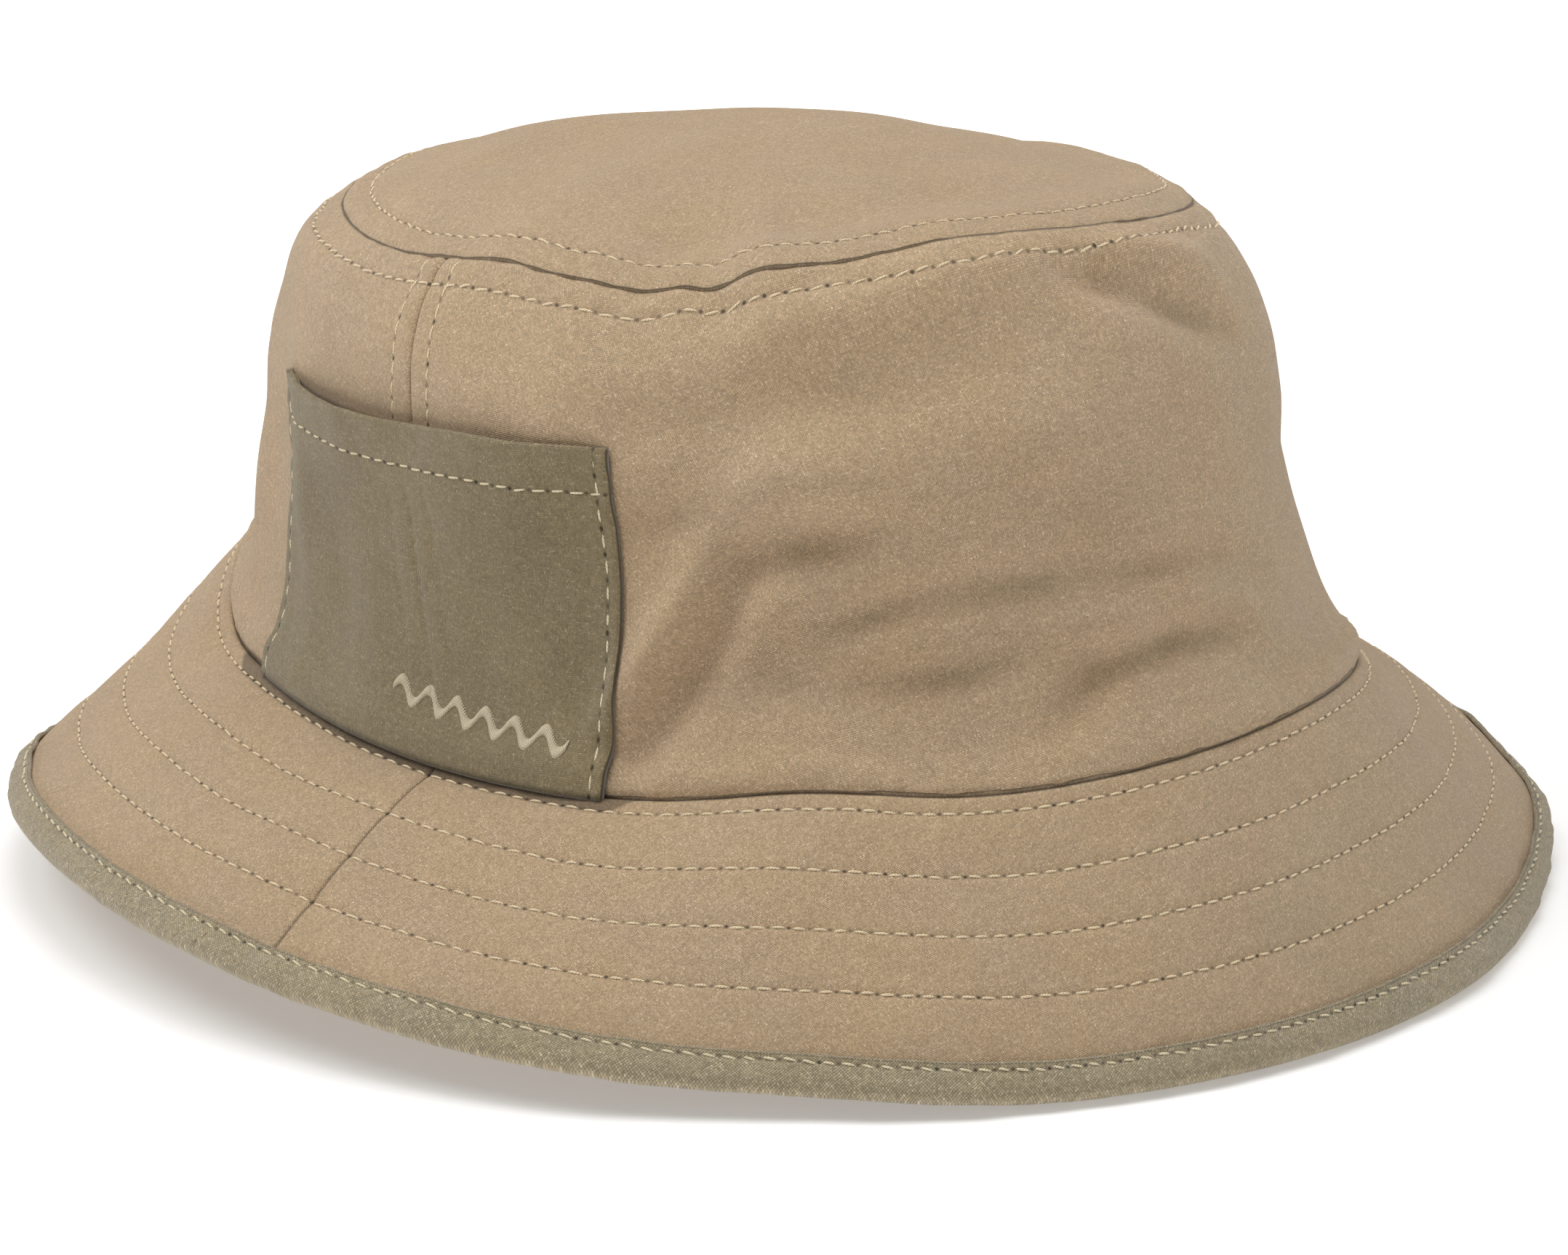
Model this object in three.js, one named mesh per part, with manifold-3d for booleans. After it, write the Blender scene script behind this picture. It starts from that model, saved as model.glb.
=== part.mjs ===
// A soft two-tone bucket hat, head size 58, standing on its brim.
// Millimetres, +Z up, the front at -Y and the patch pocket on the wearer's right, -X.
// The origin is on the table, under the middle of the brim's outline.
import * as THREE from "three";
import { mergeVertices } from "three/addons/utils/BufferGeometryUtils.js";
import Module from "manifold-3d";

const wasm = await Module();
wasm.setup();

// Driving dimensions. An oval's half axes are x, across the head, and y, from front to back.
const BASE = { x: 86.1, y: 103.4 }; // the seam between crown and brim
const TOP = { x: 64.2, y: 75.8 }; // the seam between crown side and tip
const TOP_SHIFT = { x: -2.1, y: 3.2 }; // how far the crown leans over
const CROWN_PLACE = { x: 2.5, y: 4.5 }; // the crown's middle, from the middle of the outline
const BASE_HEIGHT = 40.1;
const TOP_HEIGHT = 111;
const TIP_DOME = 11.6; // rise of the tip's middle over its seam
const TIP_ROUNDING = 2.36; // a higher power gives a flatter dome with a steeper rim
const EDGE_HEIGHT = 1; // of the brim's upper face at its edge, where the edge lies on the table
const EDGE_SLACK = 1.2; // how far the table lies above the middle of the edge's wave
const BRIM_WIDTH = 47.8; // along the cloth, from the crown seam to the edge
const BINDING_SHARE = 0.853; // of the brim's width, where the binding's inner edge lies
const BINDING_NOSE = 2.4; // radius of the binding's rounded outer edge
const SEAM_LEAN = 0.131; // radians that the side seams lean back by the time they reach the tip

// How the heights change round the head, in parts of cos t, sin t, cos 2t and sin 2t.
const BASE_WAVE = [0.5, 5.2, -4.8, 1.2];
const TOP_WAVE = [-1.6, -3.4, -1.9, 0];
const EDGE_WAVE = [-3.1, 1.7, 3.4, -3.4];
const BACK_LEFT = { angle: Math.PI / 3, dip: 8, lift: 5 }; // crown seam dips there, edge lifts

// Cloths, from thick to thin, and the room left between two of them.
const SHELL = 0.7;
const STIFFENER = 0.8;
const BAND = 1;
const LINING = 0.5;
const THREAD = 0.5;
const GAP = 0.3;
const SEAM_ANGLE = 0.004; // radians left open on each side of a side seam

// Rows of topstitching.
const TIP_ROW = 0.93; // share of the way from the tip's middle to its seam
const CROWN_ROW = 0.945; // height share of the crown
const SIDE_ROWS = 0.04; // radians to each side of a side seam
const BRIM_ROWS = [0.06, 0.27, 0.47, 0.67]; // shares of the brim's width
const BINDING_ROW = 1.8; // from the binding's inner edge
const POCKET_ROWS = 2; // from the pocket's side edges

// The side profile of the crown: height share, and share of the way in from base to top.
const PROFILE = [
  [0, 0],
  [0.12, 0.196],
  [0.3, 0.363],
  [0.45, 0.446],
  [0.6, 0.464],
  [0.75, 0.535],
  [0.85, 0.651],
  [0.93, 0.805],
  [1, 1],
];

// The patch pocket lies over the right side seam, with its bottom caught in the crown seam.
const POCKET = {
  halfWidth: 41,
  height: 48,
  mouth: 0.66, // height share of the crown
  bottom: 0.012,
  turn: 0.07, // radians that it sits back from the side seam at its bottom
  twist: 0.087, // and how much more of that per height share
  ease: 0.8, // slack over the side seam
  gape: 7, // how far the middle of the mouth stands off the crown
  gapePower: 1.3,
  hem: 0.15, // depth of the hem, as a share of the pocket's height
};

const COLUMNS = 40; // steps round the head
const steps = (from, to, count) =>
  Array.from({ length: count + 1 }, (_, i) => from + ((to - from) * i) / count);

// The columns of a half that ends just short of both side seams.
function halfRound(from) {
  const columns = steps(from, from + Math.PI, COLUMNS / 2);
  columns[0] += SEAM_ANGLE;
  columns[COLUMNS / 2] -= SEAM_ANGLE;
  return columns;
}
const FRONT = halfRound(Math.PI);
const BACK = halfRound(0);

// How deep each layer lies under the outer face, as [near side, far side].
const layers = (...thicknesses) => {
  let depth = 0;
  return thicknesses.map((thickness) => {
    const layer = [depth, depth + thickness];
    depth += thickness + GAP;
    return layer;
  });
};
const [CROWN_SHELL, CROWN_LINING, CROWN_BAND, CROWN_LABEL] = layers(SHELL, LINING, BAND, LINING);
const [BRIM_TOP, BRIM_STIFFENER, BRIM_UNDER] = layers(SHELL, STIFFENER, SHELL);
const ON_TOP = [-GAP - THREAD, -GAP]; // thread that lies on a face

// Heights round the head. The angle t is 0 on the wearer's left and grows towards the back.
const wave = (t, [cos1, sin1, cos2, sin2]) =>
  cos1 * Math.cos(t) + sin1 * Math.sin(t) + cos2 * Math.cos(2 * t) + sin2 * Math.sin(2 * t);
const backLeft = (t) => Math.max(0, Math.cos(t - BACK_LEFT.angle)) ** 4;
const baseHeight = (t) => BASE_HEIGHT + wave(t, BASE_WAVE) - BACK_LEFT.dip * backLeft(t);
const topHeight = (t) => TOP_HEIGHT + wave(t, TOP_WAVE);
// The edge lies on the table wherever it would hang lower, and lifts off beside the pocket.
const edgeWave = (t) => wave(t, EDGE_WAVE) + BACK_LEFT.lift * backLeft(t);
const edgeHeight = (t) => EDGE_HEIGHT + Math.max(0, edgeWave(t) - EDGE_SLACK);

function inwardShare(v) {
  const i = Math.max(1, PROFILE.findIndex(([height]) => height >= v));
  const [[v0, g0], [v1, g1]] = [PROFILE[i - 1], PROFILE[i]];
  return g0 + ((g1 - g0) * (v - v0)) / (v1 - v0);
}

// The crown's side at angle t and height share v.
function crownAt(t, v) {
  const g = inwardShare(v);
  return new THREE.Vector3(
    THREE.MathUtils.lerp(BASE.x, TOP.x, g) * Math.cos(t) + TOP_SHIFT.x * v,
    THREE.MathUtils.lerp(BASE.y, TOP.y, g) * Math.sin(t) + TOP_SHIFT.y * v,
    THREE.MathUtils.lerp(baseHeight(t), topHeight(t), v),
  );
}

// The same side, with t measured along the leaning side seams.
const leaned = (t, v) => t + SEAM_LEAN * Math.sin((Math.PI * v) / 2) * Math.cos(t);
const crown = (t, v) => crownAt(leaned(t, v), v);

const tipHeight = (t, r) =>
  TOP_HEIGHT + (topHeight(t) - TOP_HEIGHT) * r * r + TIP_DOME * (1 - r ** TIP_ROUNDING);

// The tip at angle t, r = 1 at its seam and 0 in the middle.
function tip(t, r) {
  const angle = leaned(t, 1);
  return new THREE.Vector3(
    TOP.x * Math.cos(angle) * r + TOP_SHIFT.x,
    TOP.y * Math.sin(angle) * r + TOP_SHIFT.y,
    tipHeight(angle, r),
  );
}

// The brim's upper face, s millimetres out from the crown seam.
function brim(t, s) {
  const seam = crownAt(t, 0);
  const away = new THREE.Vector3(BASE.y * Math.cos(t), BASE.x * Math.sin(t), 0).normalize();
  const fall = (seam.z - edgeHeight(t)) / BRIM_WIDTH;
  seam.addScaledVector(away, s * Math.sqrt(1 - fall * fall));
  seam.z -= s * fall;
  return seam;
}

// The point a depth under a surface. A negative depth is outside the hat.
function under(surface, t, v, depth) {
  const step = 1e-4;
  const at = surface(t, v);
  const along = surface(t + step, v).sub(at);
  const across = surface(t, v - step).sub(at).divideScalar(step);
  const normal = along.divideScalar(step).cross(across).normalize();
  const outward = normal.dot(new THREE.Vector3(at.x, at.y, BASE_HEIGHT)) > 0 ? 1 : -1;
  return at.addScaledVector(normal, -depth * outward);
}

// A geometry from points and quads or triangles, turned so that its faces point out.
function closedGeometry(points, faces) {
  const triangles = faces.flatMap((f) =>
    f.length === 4 ? [[f[0], f[1], f[2]], [f[0], f[2], f[3]]] : [f],
  );
  let volume = 0;
  for (const [a, b, c] of triangles) {
    volume += points[a].dot(new THREE.Vector3().crossVectors(points[b], points[c]));
  }
  const index = triangles.flatMap(([a, b, c]) => (volume > 0 ? [a, b, c] : [a, c, b]));
  return new THREE.BufferGeometry().setFromPoints(points).setIndex(index);
}

// A solid from rings that follow each other round a cross-section. With poles, the section is
// open, and the first and last ring close onto a point each. The way back along the section
// splits its quads on the same diagonals as the way out, so that layers stay parallel.
function ringSolid(rings, poles = []) {
  const n = rings[0].length;
  const points = rings.flat().concat(poles);
  const faces = [];
  rings.forEach((ring, i) => {
    if (poles.length && i === rings.length - 1) return;
    const next = ((i + 1) % rings.length) * n;
    ring.forEach((_, j) => {
      const k = (j + 1) % n;
      const quad = [i * n + j, i * n + k, next + k, next + j];
      faces.push(i < rings.length / 2 ? quad : [...quad.slice(1), quad[0]]);
    });
  });
  const last = (rings.length - 1) * n;
  for (let j = 0; poles.length && j < n; j++) {
    const k = (j + 1) % n;
    faces.push([rings.length * n, k, j]);
    faces.push([rings.length * n + 1, last + j, last + k]);
  }
  return closedGeometry(points, faces);
}

// A closed sheet between two grids of points.
function sheetSolid(outer, inner) {
  const [rows, columns] = [outer.length, outer[0].length];
  const half = rows * columns;
  const points = outer.flat().concat(inner.flat());
  const faces = [];
  const wall = (a, b) => faces.push([b, a, a + half, b + half]);
  for (let i = 0; i < rows - 1; i++) {
    for (let j = 0; j < columns - 1; j++) {
      const a = i * columns + j;
      faces.push([a, a + 1, a + columns + 1, a + columns]);
      faces.push([half + a, half + a + columns, half + a + columns + 1, half + a + 1]);
    }
    wall((i + 1) * columns, i * columns);
    wall((i + 1) * columns - 1, (i + 2) * columns - 1);
  }
  for (let j = 0; j < columns - 1; j++) {
    wall(j, j + 1);
    wall((rows - 1) * columns + j + 1, (rows - 1) * columns + j);
  }
  return closedGeometry(points, faces);
}

const round = steps(0, 2 * Math.PI, COLUMNS).slice(0, -1);
const ring = (surface, v, depth) => round.map((t) => under(surface, t, v, depth));

// A layer that runs all round the head, between two depths.
function band(surface, values, [near, far]) {
  const inner = [...values].reverse().map((v) => ring(surface, v, far));
  return ringSolid(values.map((v) => ring(surface, v, near)).concat(inner));
}

// A layer over part of a surface, between two depths.
function panel(surface, columns, values, [near, far]) {
  const grid = (depth) => values.map((v) => columns.map((t) => under(surface, t, v, depth)));
  return sheetSolid(grid(near), grid(far));
}

// An oval layer of the tip, out to the share r of its seam.
function tipLayer(edge, [near, far]) {
  const shares = [edge, 0.8, 0.55, 0.3, 0.1];
  const upper = shares.map((r) => ring(tip, r, near)).reverse();
  const lower = shares.map((r) => ring(tip, r, far));
  const pole = (depth) =>
    new THREE.Vector3(TOP_SHIFT.x, TOP_SHIFT.y, TOP_HEIGHT + TIP_DOME - depth);
  return ringSolid(upper.concat(lower), [pole(near), pole(far)]);
}

// A line of thread on a surface: round the head, or up a part of it.
const threadRound = (surface, v, scale) =>
  band(surface, [v - (THREAD / 2) * scale, v + (THREAD / 2) * scale], ON_TOP);

function threadUp(t, from, to) {
  const half = THREAD / 2 / BASE.y;
  return panel(crown, [t - half, t + half], crownRows(from, to), ON_TOP);
}

// Height shares from one to another, with every bend of the profile between them.
const crownRows = (from, to) => [
  from,
  ...PROFILE.map(([v]) => v).filter((v) => v > from && v < to),
  to,
];

// The binding is a strip folded round the edge of the brim, cut flat where it meets the table.
function bindingGeometry() {
  const thickness = BRIM_UNDER[1];
  const centre = BRIM_WIDTH - BINDING_NOSE;
  const nose = (radius, order) =>
    order.map((angle) => [
      centre + radius * Math.cos(angle),
      thickness / 2 + radius * Math.sin(angle),
    ]);
  const outerRadius = thickness / 2 + GAP + SHELL;
  const innerRadius = thickness / 2 + GAP;
  const inner = BRIM_WIDTH * BINDING_SHARE;
  const turn = steps(-Math.PI / 2, Math.PI / 2, 4);
  const section = [
    [inner, thickness / 2 - outerRadius],
    ...nose(outerRadius, turn),
    [inner, thickness / 2 + outerRadius],
    [inner, thickness / 2 + innerRadius],
    ...nose(innerRadius, [...turn].reverse()),
    [inner, thickness / 2 - innerRadius],
  ];
  const folded = ringSolid(section.map(([s, depth]) => ring(brim, s, depth)));
  const size = 4 * BASE.y;
  const table = new THREE.BoxGeometry(size, size, size).translate(0, 0, -size / 2);
  return cut(folded, table);
}

function solidOf(geometry) {
  const bare = geometry.clone();
  bare.deleteAttribute("normal");
  bare.deleteAttribute("uv");
  const merged = mergeVertices(bare, 1e-3);
  return new wasm.Manifold(
    new wasm.Mesh({
      numProp: 3,
      vertProperties: merged.attributes.position.array,
      triVerts: new Uint32Array(merged.index.array),
    }),
  );
}

function cut(geometry, tool) {
  const mesh = solidOf(geometry).subtract(solidOf(tool)).getMesh();
  return new THREE.BufferGeometry()
    .setAttribute("position", new THREE.BufferAttribute(mesh.vertProperties, 3))
    .setIndex(new THREE.BufferAttribute(mesh.triVerts, 1));
}

// The pocket across, u from -1 at the back to 1 at the front, and up, w from 0 to 1 at its mouth.
function pocketAt(u, w, depth) {
  const v = THREE.MathUtils.lerp(POCKET.bottom, POCKET.mouth, w);
  const centre = Math.PI - POCKET.turn - POCKET.twist * v;
  const radius = THREE.MathUtils.lerp(BASE.y, TOP.y, inwardShare(v));
  const slack = POCKET.ease + POCKET.gape * w ** POCKET.gapePower;
  const standOff = GAP + slack * (1 - u * u);
  return under(crownAt, centre + (u * POCKET.halfWidth) / radius, v, depth - standOff);
}

// A piece of the pocket, on a grid of u and w. Depth 0 is the panel's inner face.
function pocketSheet(columns, rows, [near, far]) {
  const grid = (depth) => rows.map((w) => columns.map((u) => pocketAt(u, w, depth)));
  return sheetSolid(grid(near), grid(far));
}
const POCKET_PANEL = [-SHELL, 0];
const POCKET_FACING = [GAP, GAP + LINING];
const ON_POCKET = ON_TOP.map((depth) => depth - SHELL);

// A wavy bar of satin stitch, low on the front half of the pocket.
function embroideryGeometry() {
  const MOTIF = { from: 0.05, to: 0.79, middle: 0.17, swing: 0.03, height: 0.05, waves: 3 };
  const columns = steps(MOTIF.from, MOTIF.to, 24);
  const grid = (depth) =>
    [-1, 1].map((side) =>
      columns.map((u) => {
        const phase = (2 * Math.PI * MOTIF.waves * (u - MOTIF.from)) / (MOTIF.to - MOTIF.from);
        const w = MOTIF.middle + MOTIF.swing * Math.sin(phase) + (side * MOTIF.height) / 2;
        return pocketAt(u, w, depth);
      }),
    );
  return sheetSolid(grid(ON_POCKET[0]), grid(ON_POCKET[1]));
}

// A woven label sewn under the middle of the tip lining.
function tipLabelGeometry() {
  const LABEL = { x: 10, y: 23, depth: 3 };
  const grid = (depth) =>
    steps(-LABEL.x, LABEL.x, 2).map((x) =>
      steps(-LABEL.y, LABEL.y, 4).map((y) => {
        const r = Math.hypot(x / TOP.x, y / TOP.y);
        const z = tipHeight(Math.atan2(y / TOP.y, x / TOP.x), r) - depth;
        return new THREE.Vector3(x + TOP_SHIFT.x, y + TOP_SHIFT.y, z);
      }),
    );
  return sheetSolid(grid(LABEL.depth), grid(LABEL.depth + LINING));
}

const cloth = (colour) =>
  new THREE.MeshStandardMaterial({ color: colour, roughness: 0.9, metalness: 0 });
const TAN = 0xb2997c;
const OLIVE = 0x8e8568;
const CREAM = 0xcdbd9f;
const STONE = 0xc9c0ae;
const CHALK = 0xe6e2d8;

const hat = new THREE.Group();
hat.position.set(CROWN_PLACE.x, CROWN_PLACE.y, 0);
function add(name, geometry, colour) {
  const mesh = new THREE.Mesh(geometry, cloth(colour));
  mesh.name = name;
  hat.add(mesh);
}

function addCrown() {
  const rows = crownRows(0.008, 0.991);
  add("crown_tip", tipLayer(0.991, CROWN_SHELL), TAN);
  add("crown_side_front", panel(crown, FRONT, rows, CROWN_SHELL), TAN);
  add("crown_side_back", panel(crown, BACK, rows, CROWN_SHELL), TAN);
}

function addBrim() {
  const out = steps(0.8, BRIM_WIDTH - BINDING_NOSE, 4);
  add("brim_top_front", panel(brim, FRONT, out, BRIM_TOP), TAN);
  add("brim_top_back", panel(brim, BACK, out, BRIM_TOP), TAN);
  add("brim_interlining", band(brim, out, BRIM_STIFFENER), STONE);
  add("brim_under_front", panel(brim, FRONT, out, BRIM_UNDER), TAN);
  add("brim_under_back", panel(brim, BACK, out, BRIM_UNDER), TAN);
  add("brim_binding", bindingGeometry(), OLIVE);
}

function addPocket() {
  const across = steps(-1, 1, 14);
  const hemAcross = steps(-0.85, 0.85, 12);
  const hemBottom = 1 - POCKET.hem;
  const half = THREAD / 2;
  const up = half / POCKET.height;
  add("pocket_panel", pocketSheet(across, steps(0, 1, 8), POCKET_PANEL), OLIVE);
  add("pocket_hem_facing", pocketSheet(hemAcross, [hemBottom, 0.99], POCKET_FACING), OLIVE);
  add("pocket_embroidery", embroideryGeometry(), CREAM);
  const hemRow = [hemBottom - up, hemBottom + up];
  add("pocket_hem_topstitch", pocketSheet(steps(-0.98, 0.98, 14), hemRow, ON_POCKET), CREAM);
  for (const [side, name] of [[-1, "back"], [1, "front"]]) {
    const middle = side * (1 - POCKET_ROWS / POCKET.halfWidth);
    const columns = [middle - half / POCKET.halfWidth, middle + half / POCKET.halfWidth];
    const rows = steps(0.02, hemBottom - 3 * up, 6);
    add(`pocket_edge_topstitch_${name}`, pocketSheet(columns, rows, ON_POCKET), CREAM);
  }
}

function addInside() {
  const sideRows = crownRows(0.03, 0.972);
  add("lining_tip", tipLayer(0.972, CROWN_LINING), STONE);
  add("lining_side_front", panel(crown, FRONT, sideRows, CROWN_LINING), STONE);
  add("lining_side_back", panel(crown, BACK, sideRows, CROWN_LINING), STONE);
  add("sweatband", band(crown, crownRows(0.02, 0.44), CROWN_BAND), TAN);
  const label = (from, to) =>
    panel(crown, steps(from, to, 4), crownRows(0.13, 0.4), CROWN_LABEL);
  add("care_label", label(Math.PI / 2 - 0.13, Math.PI / 2 + 0.13), CHALK);
  add("size_label", label(Math.PI / 2 + 0.18, Math.PI / 2 + 0.3), CHALK);
  add("maker_label", tipLabelGeometry(), OLIVE);
}

function addThreads() {
  const perMillimetre = 1 / (TOP_HEIGHT - BASE_HEIGHT);
  add("tip_topstitch", threadRound(tip, TIP_ROW, 1 / TOP.y), CREAM);
  add("crown_topstitch", threadRound(crown, CROWN_ROW, perMillimetre), CREAM);
  BRIM_ROWS.forEach((share, i) => {
    add(`brim_topstitch_${i + 1}`, threadRound(brim, share * BRIM_WIDTH, 1), CREAM);
  });
  add("binding_topstitch", bindingThread(), CREAM);
  const rows = [
    ["right_front", Math.PI + SIDE_ROWS],
    ["right_back", Math.PI - SIDE_ROWS],
    ["left_front", -SIDE_ROWS],
    ["left_back", SIDE_ROWS],
  ];
  for (const [name, t] of rows) {
    add(`side_topstitch_${name}`, threadUp(t, 0.03, 0.925), CREAM);
  }
}

// The row that holds the binding lies on the binding itself.
function bindingThread() {
  const middle = BRIM_WIDTH * BINDING_SHARE + BINDING_ROW;
  const lifted = ON_TOP.map((depth) => depth - GAP - SHELL);
  return band(brim, [middle - THREAD / 2, middle + THREAD / 2], lifted);
}

addCrown();
addBrim();
addPocket();
addInside();
addThreads();
export default hat;
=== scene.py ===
"""A soft two-tone bucket hat standing on its brim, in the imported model's frame.

Shapes are worked out in millimetres round the crown's own axis and scaled when a mesh is made.
Every layer of cloth and every stitch is sampled from the same few surfaces, so they fit.
The angle t is 0 on the wearer's left (+X) and grows towards the back (+Y).
"""
import math

import bpy
import numpy as np
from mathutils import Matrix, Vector


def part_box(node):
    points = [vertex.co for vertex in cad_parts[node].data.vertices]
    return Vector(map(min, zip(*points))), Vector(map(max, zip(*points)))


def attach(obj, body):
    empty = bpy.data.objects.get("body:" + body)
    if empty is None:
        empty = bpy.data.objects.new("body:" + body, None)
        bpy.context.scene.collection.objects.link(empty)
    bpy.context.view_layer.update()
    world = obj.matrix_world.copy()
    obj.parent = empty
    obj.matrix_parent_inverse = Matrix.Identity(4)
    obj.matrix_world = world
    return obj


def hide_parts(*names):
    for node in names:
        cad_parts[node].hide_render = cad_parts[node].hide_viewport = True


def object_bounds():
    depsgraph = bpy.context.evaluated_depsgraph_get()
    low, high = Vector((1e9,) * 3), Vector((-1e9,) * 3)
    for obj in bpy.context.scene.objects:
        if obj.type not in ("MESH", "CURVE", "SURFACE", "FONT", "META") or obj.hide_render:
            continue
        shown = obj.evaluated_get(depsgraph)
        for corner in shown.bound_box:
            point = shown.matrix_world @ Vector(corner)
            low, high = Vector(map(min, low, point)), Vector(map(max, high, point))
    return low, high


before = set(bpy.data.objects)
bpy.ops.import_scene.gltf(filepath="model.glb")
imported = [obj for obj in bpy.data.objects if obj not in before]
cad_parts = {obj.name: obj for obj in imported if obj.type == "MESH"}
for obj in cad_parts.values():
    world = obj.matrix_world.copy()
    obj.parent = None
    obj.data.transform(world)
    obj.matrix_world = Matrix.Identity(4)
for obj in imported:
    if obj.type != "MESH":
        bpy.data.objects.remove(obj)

cad_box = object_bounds()
scene = bpy.context.scene

# ---- driving dimensions, millimetres
BASE = np.array([86.1, 103.4])  # half axes of the seam between crown and brim
TOP = np.array([64.2, 75.8])  # half axes of the seam between crown side and tip
TOP_SHIFT = np.array([-2.1, 3.2])  # how far the crown leans over
BASE_HEIGHT, TOP_HEIGHT = 40.1, 111.0
TIP_DOME, TIP_ROUNDING = 11.6, 2.36
TIP_EDGE = 0.991  # share of the tip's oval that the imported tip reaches
EDGE_HEIGHT = 5.6
BRIM_WIDTH = 47.8
BRIM_CAMBER = 0.8
BINDING_SHARE = 0.881
BINDING_NOSE = 2.4
SEAM_LEAN = 0.167
BASE_WAVE = (0.5, 5.2, -4.8, 1.2)  # parts of cos t, sin t, cos 2t and sin 2t
TOP_WAVE = (-1.6, -3.4, -1.9, 0)
EDGE_WAVE = (-3.1, 1.7, 3.4, -3.4)
BACK_LEFT, BACK_LEFT_DIP, BACK_LEFT_LIFT = math.radians(60), 8, 5

# Small bends of the seams: degrees round the head, width in degrees, millimetres up.
BASE_BENDS = [(136, 14, -4), (216, 11, 2.6), (280, 28, 3.9)]
EDGE_BENDS = [(85, 35, -5), (205, 22, -0.9), (152, 20, 0.8), (288, 20, -2.0)]
LOWEST_EDGE = 1.3  # keeps the binding clear of the floor
FLARES = [(278, 24, 5), (330, 22, -1.8), (122, 20, -1.6)]  # how much further out the brim's edge is
OUTLINE_BENDS = [(306, 22, -2.6)]  # how much further out the crown is
BASE_SPREAD = 0.3  # share of the brim where the crown's outline stops mattering
TOP_BENDS = [
    (157, 31, -1.9), (188, 5.6, -1.6), (200, 9.3, -5.7), (209, 3.6, -2.4), (217, 40, 3.7), (220, 13, -3.3),
]
ROW_BENDS = [(207, 5, 1.2), (222, 8, 1.0), (248, 16, 1.2), (276, 14, 1.6)]  # of the crown's topstitching

# The crown's side profile: height share, and share of the way in from base to top.
PROFILE = np.array([
    [0, 0], [0.12, 0.196], [0.3, 0.363], [0.45, 0.446], [0.6, 0.464],
    [0.75, 0.535], [0.85, 0.651], [0.93, 0.805], [1, 1],
])

# Millimetres on the crown per radian and per height share, and mean radii along the brim.
ARC, RISE = 84.0, 76.0
SEAM_RADIUS, BIAS_RADIUS, BINDING_RADIUS, BAND_RADIUS = 95, 118, 138, 92
PI, TURN = math.pi, 2 * math.pi

# Depths of the layers' two faces under the outer one.
SHELL = 0.7
CROWN_FAR, TIP_FAR = 1.6, 1.5
LINING = (1.6, 2.0)
BAND_NEAR, BAND_FAR = 2.3, 3.1
LABEL, TIP_LABEL = (3.3, 3.55), (2.3, 2.6)
STIFF_NEAR, STIFF_FAR = 1.0, 1.8
UNDER_NEAR, UNDER_FAR = 2.1, 2.8
BINDING_OUT, BINDING_IN = 0.95, 0.1  # its outer and inner face beyond the brim's own faces
BINDING_DITCH = 0.22  # how deep its topstitching pulls it in

# Topstitching.
TIP_ROW, CROWN_ROW = 0.93, 0.945
SIDE_ROWS = 0.052
BRIM_ROWS = (0.06, 0.27, 0.47, 0.67)
BINDING_ROW = BINDING_SHARE + 1 / BRIM_WIDTH
POCKET_ROW = 2.0
STITCH, STITCH_SHARE = 3.1, 0.78  # pitch, and how much of it the thread shows
THREAD = 0.2  # radius
TIP_STITCHES, CROWN_STITCHES, BRIM_STITCHES, BINDING_STITCHES = 138, 146, (204, 218, 232, 246), 275
SIDE_STITCHES, HEM_STITCHES, POCKET_STITCHES = 24, 26, 13
HEM_ROW_END = 0.985  # share of the pocket's half width that its hem row reaches

POCKET_HALF, POCKET_HEIGHT = 41.0, 48.0
POCKET_BOTTOM, POCKET_MOUTH = -0.008, 0.668
POCKET_TURN, POCKET_TWIST = 0.092, 0.087
POCKET_HEM = 0.131
POCKET_TILT, POCKET_SAG = 0.010, 0.020  # how much higher its mouth is at the front, and at both corners

# The crown's middle and the length of a millimetre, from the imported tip.
tip_low, tip_high = (np.array(corner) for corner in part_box("crown_tip"))
MM = (tip_high[0] - tip_low[0]) / (2 * TIP_EDGE * TOP[0])
PLACE = np.append((tip_low[:2] + tip_high[:2]) / 2 - TOP_SHIFT * MM, 0)


# ---- soft numbers
def lerp(a, b, share):
    return a + (b - a) * share


def smooth(low, high, value):
    share = np.clip((value - low) / (high - low), 0, 1)
    return share * share * (3 - 2 * share)


def bell(distance, width):
    return np.exp(-((distance / width) ** 2))


def wave(t, parts):
    cos1, sin1, cos2, sin2 = parts
    return cos1 * np.cos(t) + sin1 * np.sin(t) + cos2 * np.cos(2 * t) + sin2 * np.sin(2 * t)


def bends(t, spots):
    total = np.zeros_like(t)
    for centre, width, height in spots:
        off = (np.degrees(t) - centre + 180) % 360 - 180
        total += height * bell(off, width)
    return total


def ripple(points, wavelength, seed, count=12):
    """Smooth noise of about unit size, the same at every run."""
    rng = np.random.default_rng(seed)
    total = np.zeros(points.shape[:-1])
    for _ in range(count):
        direction = rng.normal(size=3)
        direction *= TURN / (np.linalg.norm(direction) * wavelength * rng.uniform(0.7, 1.5))
        total += np.sin(points @ direction + rng.uniform(0, TURN))
    return total / math.sqrt(count / 2)


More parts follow.
